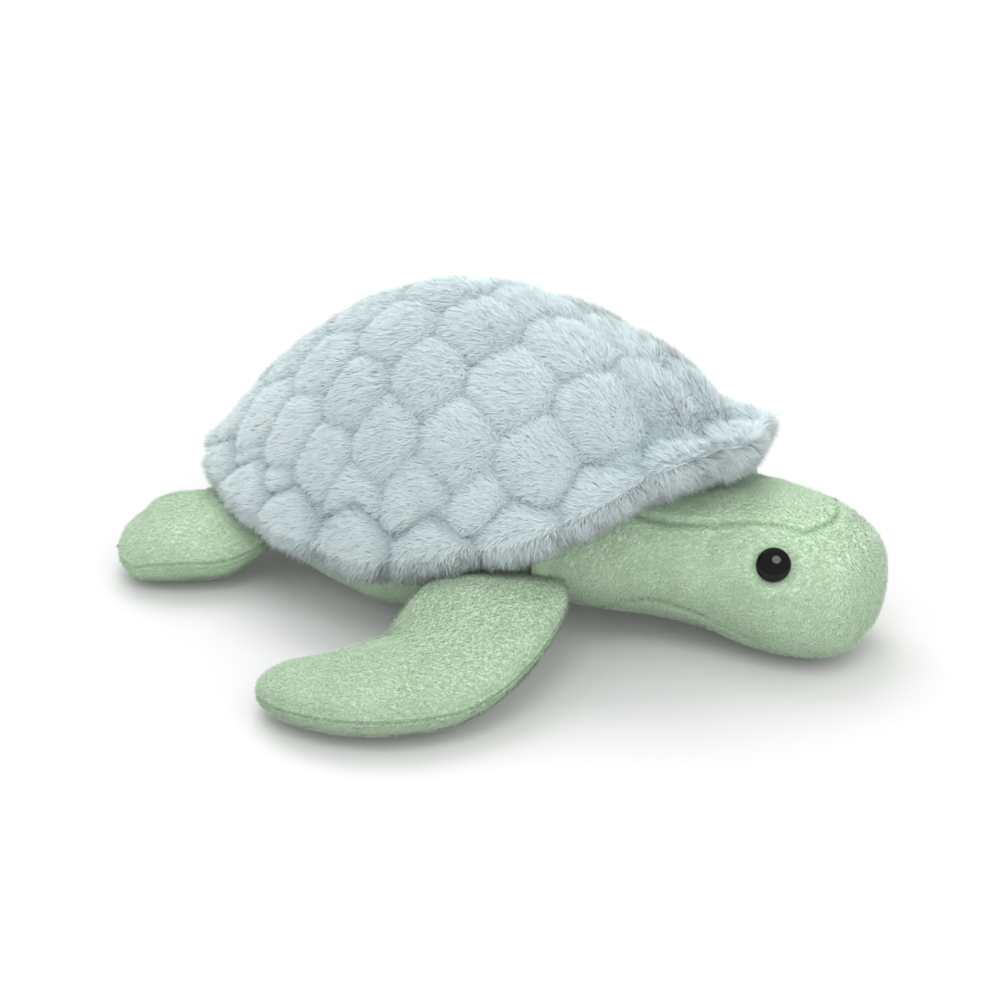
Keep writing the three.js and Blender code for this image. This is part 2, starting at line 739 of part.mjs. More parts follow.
// Root of a flipper: a straight hinge line that just clears the belly's wall
function limbRoot(limb, bearing) {
  const turn = bearing * degree;
  const wall = bellyWall(turn, limb.rootHeight);
  const ahead = bellyWall(turn - degree, limb.rootHeight);
  const behind = bellyWall(turn + degree, limb.rootHeight);
  const back = behind.sub(ahead).setZ(0).normalize();
  const out = vec(back.y, -back.x, 0);
  if (out.y < 0) out.negate();
  const middle = wall.addScaledVector(out, sewnEdgeTaper + hingeGap).setZ(limb.rootHeight);
  return { middle, out, back };
}

// Skin of a flipper as a function of the station along it and the share across it;
// top is +1 for the upper half and -1 for the lower half
function limbSurface(limb, shares, root, top) {
  const spine = new THREE.CatmullRomCurve3(shares.out.map((share, i) => root.middle.clone()
    .addScaledVector(root.out, share * limb.reach - (i === 0 ? sewnEdgeTaper : 0))
    .addScaledVector(root.back, shares.back[i] * limb.sweep)));
  const length = spine.getLength();
  return (station, across, depth, gap) => {
    const at = through(stationShares, station / limbStations) * (1 - depth / length);
    const centre = spine.getPointAt(Math.min(at, 1));
    const ahead = spine.getTangentAt(Math.min(at, 1));
    const square = Math.max(0, 1 - at / squareRootShare);
    const sideways = vec(-ahead.y, ahead.x, 0).normalize().lerp(root.back, square);
    const tall = limb.halfHeight * limbHeightShares[station];
    const wide = limb.halfWidth * limbWidthShares[station];
    const halfHeight = Math.max(tall - depth - gap, 0);
    const halfWidth = Math.max(wide - depth, 0);
    const hung = limb.rootHeight + (limb.tipHeight - limb.rootHeight) * limbDropShares[station];
    const level = Math.max(hung, tall - restPress);
    const angle = Math.PI * across;
    const z = Math.max(level + top * (gap + halfHeight * Math.sin(angle)), depth);
    return vec(centre.x, centre.y, z).addScaledVector(sideways, halfWidth * Math.cos(angle));
  };
}

function limbPanel(limb, shares, root, top) {
  const surface = limbSurface(limb, shares, root, top);
  const sheet = (depth) => (along, across) =>
    surface(Math.round(along * limbStations), across, depth, seamGap / 2);
  return panel(sheet(0), sheet(clothThickness), limbStations, limbFacets);
}

// Fibre inside a flipper, from the first station where the panels part
function limbFibre(limb, shares, root) {
  const upper = limbSurface(limb, shares, root, 1);
  const lower = limbSurface(limb, shares, root, -1);
  const depth = clothThickness + 3 * stuffingGap;
  const rings = [];
  for (let station = fibreFirstStation; station < limbStations; station += 1) {
    const steps = Array.from({ length: limbFacets }, (_, j) => j / limbFacets);
    const over = steps.map((across) => upper(station, across, depth, 0));
    const under = steps.map((across) => lower(station, 1 - across, depth, 0));
    rings.push([...over, ...under]);
  }
  rings.push([upper(limbStations, 0, depth, 0)]);
  return loft(rings);
}

// The object
const turtle = new THREE.Group();

function addPart(name, geometry, material) {
  const mesh = new THREE.Mesh(geometry, material);
  mesh.name = name;
  turtle.add(mesh);
}

addPart('shell_top', shellTop(), shellCloth);
addPart('belly_panel', bellyPanel(), bellyCloth);
addPart('body_stuffing', bodyStuffing(), fibre);

const skin = headSkin();
const eye = eyePlace();
const side = headSide(skin, eye);
const pocket = eyePocket(eye);
addPart('neck_wad', ball(neckPivot, neckWadRadius), fibre);
addPart('head_top_gusset', common(skin, crownOutline(0)), greenCloth);
addPart('chin_gusset', common(skin, chinOutline(0)), greenCloth);
addPart('head_side_left', side, greenCloth);
addPart('head_side_right', mirrored(side), greenCloth);
addPart('head_stuffing', headFibre(true, [pocket, mirrored(pocket)]), fibre);
addPart('throat_stuffing', headFibre(false, []), fibre);
addPart('eye_left', eyeButton(eye), eyeGloss);
addPart('eye_right', mirrored(eyeButton(eye)), eyeGloss);
addPart('eye_washer_left', eyeWasher(eye), washerPlastic);
addPart('eye_washer_right', mirrored(eyeWasher(eye)), washerPlastic);

const limbs = [
  ['front', frontFlipper, frontSpineShares, frontFlipperBearing],
  ['rear', rearFlipper, rearSpineShares, rearFlipperBearing],
];
for (const [place, limb, shares, bearing] of limbs) {
  const root = limbRoot(limb, bearing);
  const pieces = [
    ['top', limbPanel(limb, shares, root, 1), greenCloth],
    ['bottom', limbPanel(limb, shares, root, -1), greenCloth],
    ['stuffing', limbFibre(limb, shares, root), fibre],
  ];
  for (const [piece, geometry, material] of pieces) {
    addPart(`${place}_left_flipper_${piece}`, geometry, material);
    addPart(`${place}_right_flipper_${piece}`, mirrored(geometry), material);
  }
}

export default turtle;
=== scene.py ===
"""A plush sea turtle: furry quilted shell, short green pile on head, belly and flippers, glossy eyes.

Everything is in metres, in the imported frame: +X to the nose, +Y to the turtle's left, +Z up.
"""
import json
import math

import bpy
import numpy as np
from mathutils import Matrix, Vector


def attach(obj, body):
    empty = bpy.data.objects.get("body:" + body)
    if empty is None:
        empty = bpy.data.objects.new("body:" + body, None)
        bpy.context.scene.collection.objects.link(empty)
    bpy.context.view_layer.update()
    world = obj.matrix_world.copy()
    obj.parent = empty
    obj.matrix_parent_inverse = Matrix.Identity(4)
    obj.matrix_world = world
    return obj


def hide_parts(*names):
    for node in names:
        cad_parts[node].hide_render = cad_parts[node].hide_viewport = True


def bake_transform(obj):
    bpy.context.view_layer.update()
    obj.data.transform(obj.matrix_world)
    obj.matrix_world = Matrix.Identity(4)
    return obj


bl_info = {
    "name": "Plush Sea Turtle",
    "version": (1, 0, 0),
    "blender": (4, 5, 0),
    "location": "View3D > Sidebar > Turtle",
    "description": "Builds a stuffed sea turtle with a quilted fur shell and short green pile",
    "category": "Add Mesh",
}

MM = 0.001
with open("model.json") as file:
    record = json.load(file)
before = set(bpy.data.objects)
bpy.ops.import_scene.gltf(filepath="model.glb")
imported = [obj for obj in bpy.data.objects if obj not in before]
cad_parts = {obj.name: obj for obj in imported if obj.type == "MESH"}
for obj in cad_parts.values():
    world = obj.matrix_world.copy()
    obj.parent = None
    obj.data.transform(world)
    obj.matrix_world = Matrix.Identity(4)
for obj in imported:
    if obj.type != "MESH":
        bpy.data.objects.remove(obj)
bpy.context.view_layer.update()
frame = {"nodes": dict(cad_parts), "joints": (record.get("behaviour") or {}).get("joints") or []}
JOINTS = {joint["name"]: joint for joint in frame["joints"]}


# Sizes and colours that a user would change


def length(name, value, text):
    """A length property in metres whose default is given in millimetres."""
    return bpy.props.FloatProperty(name=name, description=text, default=value * MM, unit="LENGTH")


def amount(name, value, text):
    """A whole number property."""
    return bpy.props.IntProperty(name=name, description=text, default=value)


def colour(name, hex_value, text):
    """A colour property whose default is an sRGB hex value turned to linear."""
    return bpy.props.FloatVectorProperty(
        name=name, description=text, subtype="COLOR", size=3, min=0, max=1, default=linear(hex_value)
    )


def linear(hex_value):
    """sRGB hex to three linear values: the standard curve, undone channel by channel."""
    channels = [int(hex_value[i : i + 2], 16) / 255 for i in (1, 3, 5)]
    return tuple(c / 12.92 if c <= 0.04045 else ((c + 0.055) / 1.055) ** 2.4 for c in channels)


class ShellSettings(bpy.types.PropertyGroup):
    front_reach: length("Front reach", 125.5, "From the shell's centre to the backing at the front rim")
    rear_reach: length("Rear reach", 118, "From the shell's centre to the backing at the rear rim")
    half_width: length("Half width", 85, "From the middle to the backing at the side rim")
    height: length("Height", 124.8, "From the floor to the backing at the crown")
    centre_x: length("Centre", -1.6, "Where the rim's two half ovals meet")
    crown_x: length("Crown", 3, "Where the shell is highest")
    rim_height: length("Rim height", 39, "From the floor to the rim's outermost line at the sides")
    front_lift: length("Front lift", 41, "How far the rim arches up over the neck")
    rear_lift: length("Rear lift", 2, "How far the rim rises at the tail")
    roll_radius: length("Rim roll", 6.5, "Radius of the stuffed roll that the rim turns under on")
    front_swell: length("Front swell", 7, "How much thicker the roll is over the neck")
    front_sag: length("Front sag", 7, "How far the dome sags behind its front rim")
    near_lift: length("Uneven lift", 8, "How much higher the rim arches on the right of the neck")
    neck_room: length("Neck room", 12, "How much further in the lip reaches over the neck")
    lip_inset: length("Lip", 13, "How far in from the rim the belly is sewn")
    quilt_pitch: length("Quilt pitch", 37.6, "Between two neighbouring puffs of a row")
    quilt_row: length("Quilt rows", 25.1, "Between two rows of puffs")
    quilt_slip: length("Quilt slip", 3.6, "How far a row slips past the half pitch of the one above")
    quilt_turn: bpy.props.FloatProperty(
        name="Quilt turn",
        description="Turn of the rows against the turtle's long axis",
        default=math.radians(9),
        subtype="ANGLE",
    )
    rim_band: length("Rim band", 15, "How far above the rim its own row of puffs reaches")
    rim_puffs: amount("Rim puffs", 18, "Puffs all round the rim")
    quilt_back: length("Quilt back", 19.2, "How far behind the crown a puff has its middle")
    quilt_aside: length("Quilt aside", 29.7, "How far to the right of the crown it has it")
    puff_height: length("Puff height", 5.2, "From the bottom of a quilt groove to the top of a puff")
    puff_radius: length("Puff rounding", 12.5, "How far in from its groove a puff levels out")
    fur_length: length("Fur length", 4.6, "Length of a shell fibre lock")
    fur_width: length("Fur width", 0.3, "Width of a shell fibre lock at its root")
    fur_count: amount("Fur locks", 280000, "Fibre locks on the whole shell")
    fur_light: colour("Fur light", "#e6f2f3", "Tips of the shell fur")
    fur_mid: colour("Fur middle", "#d1e2e4", "Middle of the shell fur")
    # The deep fur colour is a painted shade, tinted into the quilt grooves.
    fur_groove_shade: colour("Fur deep", "#a3bbbf", "Roots of the shell fur and the quilt grooves")


class SkinSettings(bpy.types.PropertyGroup):
    pile_length: length("Pile length", 1.9, "Length of a green pile lock")
    pile_width: length("Pile width", 0.38, "Width of a green pile lock at its root")
    pile_density: bpy.props.FloatProperty(
        name="Pile density", description="Pile locks to a square millimetre", default=2.2
    )
    pile_light: colour("Pile light", "#d3e7cf", "Tips of the green pile")
    pile_mid: colour("Pile middle", "#b8d5b3", "Middle of the green pile")
    # The deep pile colour is a painted shade, tinted along the seams' valleys.
    pile_seam_shade: colour("Pile deep", "#8fb08b", "Roots of the green pile and its seams")
    belly_inset: length("Belly inset", 11, "How far in from the rim the belly's wall starts")
    slack: length("Slack", 0.8, "How much smaller a piece is cut than it is once stuffed")
    pile_stand: length("Pile stand", 1.1, "How far the pile stands off the cloth")
    nose_reach: length("Nose reach", 182, "From the origin to the tip of the nose")
    head_root: length("Neck root", 62, "Where the neck starts under the shell")
    head_height: length("Head height", 62, "From the floor to the top of the head")
    head_half_width: length("Head half width", 37, "From the middle to the cheek")
    eye_radius: length("Eye radius", 6.7, "Radius of a safety eye")
    eye_bulge: length("Eye bulge", 3.7, "How far a safety eye stands out of the cloth")


SETTINGS = {"turtle_shell": ShellSettings, "turtle_skin": SkinSettings}


# Numbers and noise on whole arrays


def smoothstep(low, high, value):
    """0 below low, 1 above high, and 3t^2 - 2t^3 between them."""
    t = np.clip((value - low) / (high - low), 0, 1)
    return t * t * (3 - 2 * t)


def crowded(count, last, power):
    """Shares from 0 on that crowd together near 1: 1 - (1 - t)^power, up to t = last."""
    return 1 - (1 - np.linspace(0, last, count)) ** power


def turns(count):
    """Angles that go once round in equal steps."""
    return np.arange(count) / count * 2 * math.pi


def xyz(x, y, z):
    """Three arrays or numbers as one array of points."""
    return np.stack(np.broadcast_arrays(x, y, z), axis=-1)


def unit(vectors):
    """Vectors scaled to length 1."""
    return vectors / np.maximum(np.linalg.norm(vectors, axis=-1, keepdims=True), 1e-12)


def through(values, share):
    """Smooth curve through evenly spaced values: a Catmull-Rom spline read at shares from 0 to 1."""
    values = np.asarray(values, float)
    place = np.clip(share, 0, 1) * (len(values) - 1)
    start = np.minimum(place.astype(int), len(values) - 2)
    t = place - start
    padded = np.concatenate([[values[0]], values, [values[-1]]])
    a, b, c, d = (padded[start + k] for k in range(4))
    slope_b, slope_c = (c - a) / 2, (d - b) / 2
    return (
        b
        + slope_b * t
        + (3 * (c - b) - 2 * slope_b - slope_c) * t**2
        + (2 * (b - c) + slope_b + slope_c) * t**3
    )


NOISE_VALUES = 4096
HASH_PRIMES = (73856093, 19349663, 83492791)


def value_noise(points, size, seed):
    """Random numbers from -1 to 1 on a cubic lattice, blended by smoothsteps between its corners."""
    table = np.random.default_rng(seed).uniform(-1, 1, NOISE_VALUES)
    place = points / size
    corner = np.floor(place).astype(np.int64)
    t = smoothstep(0, 1, place - corner)
    total = np.zeros(len(points))
    for step in np.ndindex(2, 2, 2):
        at = corner + np.array(step)
        index = np.bitwise_xor.reduce(at * HASH_PRIMES, axis=1) & (NOISE_VALUES - 1)
        weight = np.prod(np.where(np.array(step) == 1, t, 1 - t), axis=1)
        total += weight * table[index]
    return total


def vector_noise(points, size, seed):
    """Three independent value noises as one vector field."""
    return np.stack([value_noise(points, size, seed + k) for k in range(3)], axis=1)


# Meshes


def grid_faces(rows, columns):
    """Quads of a grid of rows whose columns close on themselves."""
    row, column = np.meshgrid(np.arange(rows - 1), np.arange(columns), indexing="ij")
    after = (column + 1) % columns
    a, b = row * columns + column, row * columns + after
    return np.stack([a, a + columns, b + columns, b], axis=-1).reshape(-1, 4)


def fan_faces(centre, ring, outward):
    """Triangles from a centre vertex to a closed ring of vertices."""
    after = np.roll(ring, -1)
    middle = np.full(len(ring), centre)
    return np.stack([middle, ring, after] if outward else [middle, after, ring], axis=-1)


def closed_surface(grid, first=None, last=None):
    """Points and faces of a grid of closed rings, with a pole at each end, or the mean of its ring."""
    rows, columns = grid.shape[:2]
    first = grid[0].mean(axis=0) if first is None else first
    last = grid[-1].mean(axis=0) if last is None else last
    points = np.concatenate([grid.reshape(-1, 3), [first], [last]])
    quads = grid_faces(rows, columns)
    start = fan_faces(rows * columns, np.arange(columns), True)
    end = fan_faces(rows * columns + 1, np.arange(columns) + (rows - 1) * columns, False)
    triangles = np.concatenate([quads[:, [0, 1, 2]], quads[:, [0, 2, 3]], start, end])
    return {"points": points, "quads": quads, "caps": np.concatenate([start, end]), "triangles": triangles}


def face_vectors(skin):
    """For each triangle a vector square to it, twice as long as its area, and its first corner."""
    a, b, c = (skin["points"][skin["triangles"][:, k]] for k in range(3))
    return np.cross(b - a, c - a), a


def grown_area(skin):
    """Twice the area of each triangle times the density of its fibre."""
    weight = skin["weight"][skin["triangles"]].mean(axis=1)
    return np.linalg.norm(face_vectors(skin)[0], axis=1) * weight


def surface_normals(skin):
    """Area weighted mean of the face normals at each vertex, turned outwards."""
    points, triangles = skin["points"], skin["triangles"]
    face, corner = face_vectors(skin)
    if np.einsum("ij,ij->i", corner, face).sum() < 0:
        for key in ("triangles", "quads", "caps"):
            skin[key] = skin[key][:, ::-1]
        face = -face
    normals = np.zeros_like(points)
    for k in range(3):
        np.add.at(normals, triangles[:, k], face)
    return unit(normals)


def new_object(name, mesh, material):
    """Links a mesh object with one material to the scene."""
    mesh.materials.append(material)
    made = bpy.data.objects.new(name, mesh)
    bpy.context.scene.collection.objects.link(made)
    return made


def add_tint(mesh, colours):
    """Linear colours at the vertices, as the attribute that materials read."""
    attribute = mesh.color_attributes.new("tint", "FLOAT_COLOR", "POINT")
    four = np.ones((len(colours), 4), np.float32)
    four[:, :3] = colours
    attribute.data.foreach_set("color", four.ravel())


def skin_object(name, skin, material):
    """A smooth shaded mesh from a skin's points, quads and caps, with its tint."""
    mesh = bpy.data.meshes.new(name)
    faces = skin["quads"].tolist() + skin["caps"].tolist()
    mesh.from_pydata(skin["points"].tolist(), [], faces)
    mesh.polygons.foreach_set("use_smooth", np.ones(len(faces), bool))
    add_tint(mesh, skin["tint"])
    mesh.update()
    return new_object(name, mesh, material)


def bell(distance, reach):
    """A bell curve: 1 at distance 0, 1/e at the reach."""
    return np.exp(-((distance / reach) ** 2))


def mix(first, second, share):
    """Blend of two colours by an array of shares."""
    share = np.asarray(share)[..., None]
    return np.asarray(first) * (1 - share) + np.asarray(second) * share


# Stuffing: a coarse closed copy of a skin is blown up as cloth, and the fine skin follows it

# The cloth's settings, its voxels and frames, how far a move spreads, and chunks that save memory
CLOTH = {
    "quality": 5,
    "mass": 0.2,
    "use_pressure": True,
    "uniform_pressure_force": 4.0,
    "vertex_group_mass": "held",
}
CLOTH_VOXEL = 4.5 * MM
CLOTH_FRAMES = 20
BELL_SHARE = 0.8
FLOOR_GAP = 0.2 * MM
NEAR_CHUNK = 60
MOVE_CHUNK = 400


def coarse_copy(skin):
    """The skin remeshed in even voxels, as an object of its own."""
    mesh = bpy.data.meshes.new("coarse")
    mesh.from_pydata(skin["points"].tolist(), [], skin["quads"].tolist() + skin["caps"].tolist())
    raw = bpy.data.objects.new("coarse", mesh)
    bpy.context.scene.collection.objects.link(raw)
    remesh = raw.modifiers.new("voxels", "REMESH")
    remesh.mode, remesh.voxel_size = "VOXEL", CLOTH_VOXEL
    graph = bpy.context.evaluated_depsgraph_get()
    even = bpy.data.meshes.new_from_object(raw.evaluated_get(graph))
    raw.modifiers.clear()
    raw.data = even
    bpy.data.meshes.remove(mesh)
    return raw


def vertex_places(mesh):
    """All vertices of a mesh as one array."""
    flat = np.empty(len(mesh.vertices) * 3)
    mesh.vertices.foreach_get("co", flat)
    return flat.reshape(-1, 3)


def blown_places(raw, held):
    """Where the vertices of a closed mesh lie after it was simulated as cloth under pressure.

    The held ones, which a seam or the body keeps, are pinned; nothing falls, because the rest
    shape is already the one that the toy has on its floor.
    """
    group = raw.vertex_groups.new(name="held")
    group.add(np.flatnonzero(held).tolist(), 1.0, "REPLACE")
    cloth = raw.modifiers.new("stuffing", "CLOTH")
    for key, value in CLOTH.items():
        setattr(cloth.settings, key, value)
    cloth.settings.effector_weights.gravity = 0
    cloth.point_cache.frame_start, cloth.point_cache.frame_end = 1, CLOTH_FRAMES
    scene = bpy.context.scene
    for number in range(1, CLOTH_FRAMES + 1):
        scene.frame_set(number)
    graph = bpy.context.evaluated_depsgraph_get()
    blown = raw.evaluated_get(graph)
    places = vertex_places(blown.to_mesh())
    blown.to_mesh_clear()
    scene.frame_set(1)
    return places


def swell(skin, held, cap):
    """Moves a skin as a coarse copy of it moves under pressure, by no more than the cap.

    A point takes the mean of the coarse moves round it, weighted by a bell curve of the distance.
    """
    raw = coarse_copy(skin)
    before = vertex_places(raw.data)
    points = skin["points"]
    near = []
    for part in np.array_split(before, max(1, len(before) // NEAR_CHUNK)):
        near.append(np.argmin(((part[:, None] - points[None]) ** 2).sum(axis=-1), axis=1))
    move = blown_places(raw, held[np.concatenate(near)] > 0.5) - before
    far = np.linalg.norm(move, axis=1, keepdims=True)
    move *= np.minimum(1, cap / np.maximum(far, 1e-9))
    shifts = []
    for part in np.array_split(points, max(1, len(points) // MOVE_CHUNK)):
        gap = ((part[:, None] - before[None]) ** 2).sum(axis=-1)
        weight = np.exp(-gap / (CLOTH_VOXEL * BELL_SHARE) ** 2) + 1e-12
        shifts.append(weight @ move / weight.sum(axis=1, keepdims=True))
    skin["points"] = points + np.concatenate(shifts) * (1 - held)[:, None]
    skin["points"][:, 2] = np.maximum(skin["points"][:, 2], FLOOR_GAP)
    mesh = raw.data
    bpy.data.objects.remove(raw)
    bpy.data.meshes.remove(mesh)


# Fibre locks: each is a tapered ribbon that leaves the cloth steeply and lies over along the nap

# Strays of the locks, their wave and taper, then the strips of the image that their colours bake to
LEAN_STRAY = 0.08
LENGTH_STRAY = 0.22
LENGTH_STRAY_LIMIT = 1.6
WAVE_TURN = 4.2
TAPER = 0.75
TAPER_POWER = 1.8
BAKE_EDGE = 0.002
BAKE_RING = 0.004
BAKE_MARGIN = 0.01
BAKE_HEIGHT = 1.03


def sample_roots(skin, count, random):
    """Points spread evenly by area times weight, each with its shares of a triangle's three corners."""
    total = np.cumsum(grown_area(skin))
    reach = (np.arange(count) + random.random(count)) / count * total[-1]
    chosen = skin["triangles"][np.minimum(np.searchsorted(total, reach), len(total) - 1)]
    r, s = random.random(count), random.random(count)
    root = np.sqrt(r)
    shares = np.stack([1 - root, root * (1 - s), root * s], axis=1)
    return chosen, shares


def lock_paths(skin, look, count, seed):
    """Centre lines, side vectors and colours of the locks.

    A lock starts at its root and takes equal steps; each step's direction turns from the cloth's
    normal towards the nap by the lean angle, which grows along the lock, plus a small wave sideways.
    """
    random = np.random.default_rng(seed)
    chosen, shares = sample_roots(skin, count, random)

    def read(field):
        return np.einsum("ij,ij...->i...", shares, skin[field][chosen])

    root, normal, comb = read("points"), unit(read("normals")), read("comb")
    clump = vector_noise(root, look["clump_size"], seed + 11)
    fine = random.normal(0, look["stray"], (count, 3))
    comb = comb + clump * look["clump"] + fine
    comb = unit(comb - normal * np.einsum("ij,ij->i", comb, normal)[:, None])
    side = np.cross(normal, comb)
    lift = value_noise(root, look["clump_size"], seed + 29) * look["lift"]
    stand = read("stand")
    lean_start = look["lean"][0] - lift - stand * 0.5 + random.normal(0, LEAN_STRAY, count)
    lean_end = look["lean"][1] - lift * 0.7 - stand + random.normal(0, LEAN_STRAY, count)
    stray = random.normal(0, 1, count).clip(-LENGTH_STRAY_LIMIT, LENGTH_STRAY_LIMIT)
    size = read("length") * (1 + LENGTH_STRAY * stray)
    phase = random.uniform(0, 2 * math.pi, count)
    steps = look["steps"]
    centre = [root - normal * look["width"] * 0.5]
    along = [comb]
    for k in range(steps):
        t = (k + 0.5) / steps
        lean = (lean_start + (lean_end - lean_start) * t)[:, None]
        wave = (look["wave"] * np.sin(phase + t * WAVE_TURN))[:, None]
        direction = unit(normal * np.cos(lean) + comb * np.sin(lean) + side * wave)
        centre.append(centre[-1] + direction * (size / steps)[:, None])
        along.append(direction)
    patch = value_noise(root, look["clump_size"] * 2, seed + 5)
    tone = random.normal(0, look["tone"], count) + patch * look["tone"]
    return np.stack(centre, 1), np.stack(along, 1), side, normal, read("tint"), tone, random


def lock_mesh(name, paths, look, shades, material):
    """Ribbons from lock paths: two vertices at each ring but the last, which is the tip."""
    centre, along, side, normal, tint, tone, random = paths
    count, rings = centre.shape[:2]
    steps = rings - 1
    twist = random.normal(0, look["twist"], (count, 1))
    across = unit(-side * np.cos(twist) + normal * np.sin(twist))
    taper = look["width"] / 2 * (1 - (np.arange(steps) / steps) ** TAPER_POWER * TAPER)
    wide = across[:, None, :] * taper[None, :, None]
    sides = [centre[:, :steps] - wide, centre[:, :steps] + wide]
    pairs = np.stack(sides, axis=2).reshape(count, steps * 2, 3)
    points = np.concatenate([pairs, centre[:, steps:]], axis=1)
    each = steps * 2 + 1
    base = np.arange(count)[:, None] * each
    quads = np.concatenate(
        [base + np.array([[2 * k, 2 * k + 1, 2 * k + 3, 2 * k + 2]]) for k in range(steps - 1)], axis=1
    )
    tips = base + np.array([[2 * steps - 2, 2 * steps - 1, 2 * steps]])
    loops = np.concatenate([quads, tips], axis=1).ravel()
    per = 4 * (steps - 1) + 3
    loop_start = (np.arange(count)[:, None] * per + 4 * np.arange(steps)[None, :]).ravel()
    mesh = bpy.data.meshes.new(name)
    mesh.vertices.add(count * each)
    mesh.vertices.foreach_set("co", points.astype(np.float32).ravel())
    mesh.loops.add(len(loops))
    mesh.loops.foreach_set("vertex_index", loops.astype(np.int32))
    mesh.polygons.add(len(loop_start))
    mesh.polygons.foreach_set("loop_start", loop_start.astype(np.int32))
    mesh.polygons.foreach_set("use_smooth", np.ones(len(loop_start), bool))
    mesh.update(calc_edges=True)
    ring = np.minimum(np.arange(each) // 2, steps) / steps
    # Painted shade and light: each lock is darker at its root, where the locks shade each other, and
    # lighter at its tip.
    shade = np.interp(ring, np.linspace(0, 1, len(shades)), shades)
    colours = tint[:, None, :] * (shade[None, :, None] * (1 + tone[:, None, None]))
    add_tint(mesh, np.clip(colours, 0, 1).reshape(-1, 3))
    flat = np.cross(across[:, None, :], along)
    flat *= np.sign(np.einsum("ijk,ik->ij", flat, normal))[..., None] + 1e-9
    soft = unit(normal[:, None, :] * look["soft"] + unit(flat) * (1 - look["soft"]))
    flank = across[:, None, :] * look["round"]
    flanks = np.stack([soft[:, :steps] - flank, soft[:, :steps] + flank], axis=2)
    flanks = flanks.reshape(count, steps * 2, 3)
    normals = unit(np.concatenate([flanks, soft[:, steps:]], axis=1)).reshape(-1, 3)
    mesh.normals_split_custom_set_from_vertices(normals.tolist())
    lock_uv(mesh, points, loops, each, steps)
    return new_object(name, mesh, material)


def lock_uv(mesh, points, loops, each, steps):
    """Where a lock's colour is kept when baked: its root seen from above, one strip for each ring."""
    low, high = points.reshape(-1, 3).min(axis=0), points.reshape(-1, 3).max(axis=0)
    root = (points[:, 0] - low) / (high - low)
    ring = np.minimum(np.arange(each) // 2, steps)
    edge = np.arange(each) % 2
    u = root[:, None, 0] * (1 - 2 * BAKE_EDGE) + edge[None, :] * BAKE_EDGE
    v = root[:, None, 1] * (1 - 2 * BAKE_MARGIN) + BAKE_MARGIN + ring[None, :] * BAKE_RING
    v = v / BAKE_HEIGHT
    uv = np.stack([np.broadcast_to(u, v.shape), v], axis=-1).reshape(-1, 2)
    layer = mesh.uv_layers.new(name="OFBake")
    layer.data.foreach_set("uv", uv[loops].astype(np.float32).ravel())


def grow_locks(name, skin, look, count, seed, material, pieces=1):
    """Locks over a skin, split into several pieces that each cover their own stretch of it."""
    made = []
    count = count // pieces * pieces
    paths = lock_paths(skin, look, count, seed)
    random = paths[-1]
    for k in range(pieces):
        part = slice(k * (count // pieces), (k + 1) * (count // pieces))
        chunk = tuple(field[part] for field in paths[:-1]) + (random,)
        title = name if pieces == 1 else f"{name}_{k + 1}"
        made.append(lock_mesh(title, chunk, look, look["shades"], material))
    return made


# Materials

LIGHT_THROUGH = 0.19


def add_node(tree, kind, settings=None, links=None):
    """Adds a node with its settings, as attributes or socket values, and links given as socket: source."""
    node = tree.nodes.new(kind)
    for key, value in (settings or {}).items():
        if isinstance(key, int) or key in node.inputs:
            node.inputs[key].default_value = value
        else:
            setattr(node, key, value)
    for key, source in (links or {}).items():
        tree.links.new(source, node.inputs[key])
    return node


def new_material(name):
    """An empty node material and its tree."""
    material = bpy.data.materials.new(name)
    material.use_nodes = True
    material.node_tree.nodes.clear()
    return material, material.node_tree


def mapped(tree, source, low, high, start=0.0, end=1.0):
    """A value that goes from low to high where its source goes from start to end."""
    settings = {"From Min": start, "From Max": end, "To Min": low, "To Max": high}
    return add_node(tree, "ShaderNodeMapRange", settings, {"Value": source}).outputs["Result"]


def combined(tree, operation, first, second):
    """The value of a math node for two sources."""
    node = add_node(tree, "ShaderNodeMath", {"operation": operation}, {0: first, 1: second})
    return node.outputs["Value"]


def vertex_tint(tree):
    """The colours that the mesh carries."""
    return add_node(tree, "ShaderNodeVertexColor", {"layer_name": "tint"}).outputs["Color"]


def grain_noise(tree, size, detail=2.0):
    """Noise of that size in the object's own coordinates."""
    place = add_node(tree, "ShaderNodeTexCoord").outputs["Object"]
    settings = {"Scale": 1 / size, "Detail": detail}
    return add_node(tree, "ShaderNodeTexNoise", settings, {"Vector": place}).outputs["Fac"]


def bumped(tree, height, strength, distance):
    """Normals bent by a height."""
    settings = {"Strength": strength, "Distance": distance}
    return add_node(tree, "ShaderNodeBump", settings, {"Height": height}).outputs["Normal"]


def principled(tree, settings, links):
    """A principled shader with its settings and links."""
    return add_node(tree, "ShaderNodeBsdfPrincipled", settings, links).outputs["BSDF"]


def show(tree, shader):
    """Ends a material with this shader as its surface."""
    add_node(tree, "ShaderNodeOutputMaterial", None, {"Surface": shader})


def lock_material(name, sheen):
    """Polyester fibre: matt, each lock in its own tone from the tint attribute, with a pale sheen.

    Normals are turned over on the far side of a ribbon, so that both sides shade alike, and a
    share of the light comes through.
    """
    material, tree = new_material(name)
    tint = vertex_tint(tree)
    face = add_node(tree, "ShaderNodeNewGeometry")
    flip = mapped(tree, face.outputs["Backfacing"], 1.0, -1.0)
    turned = {"Vector": face.outputs["Normal"], "Scale": flip}
    normal = add_node(tree, "ShaderNodeVectorMath", {"operation": "SCALE"}, turned).outputs["Vector"]
    surface = principled(
        tree,
        {"Roughness": 0.82, "Sheen Weight": sheen, "Sheen Roughness": 0.45, "Specular IOR Level": 0.2},
        {"Base Color": tint, "Normal": normal},
    )
    behind = add_node(tree, "ShaderNodeBsdfTranslucent", None, {"Color": tint}).outputs["BSDF"]
    both = add_node(tree, "ShaderNodeMixShader", {0: LIGHT_THROUGH}, {1: surface, 2: behind})
    show(tree, both.outputs["Shader"])
    return material


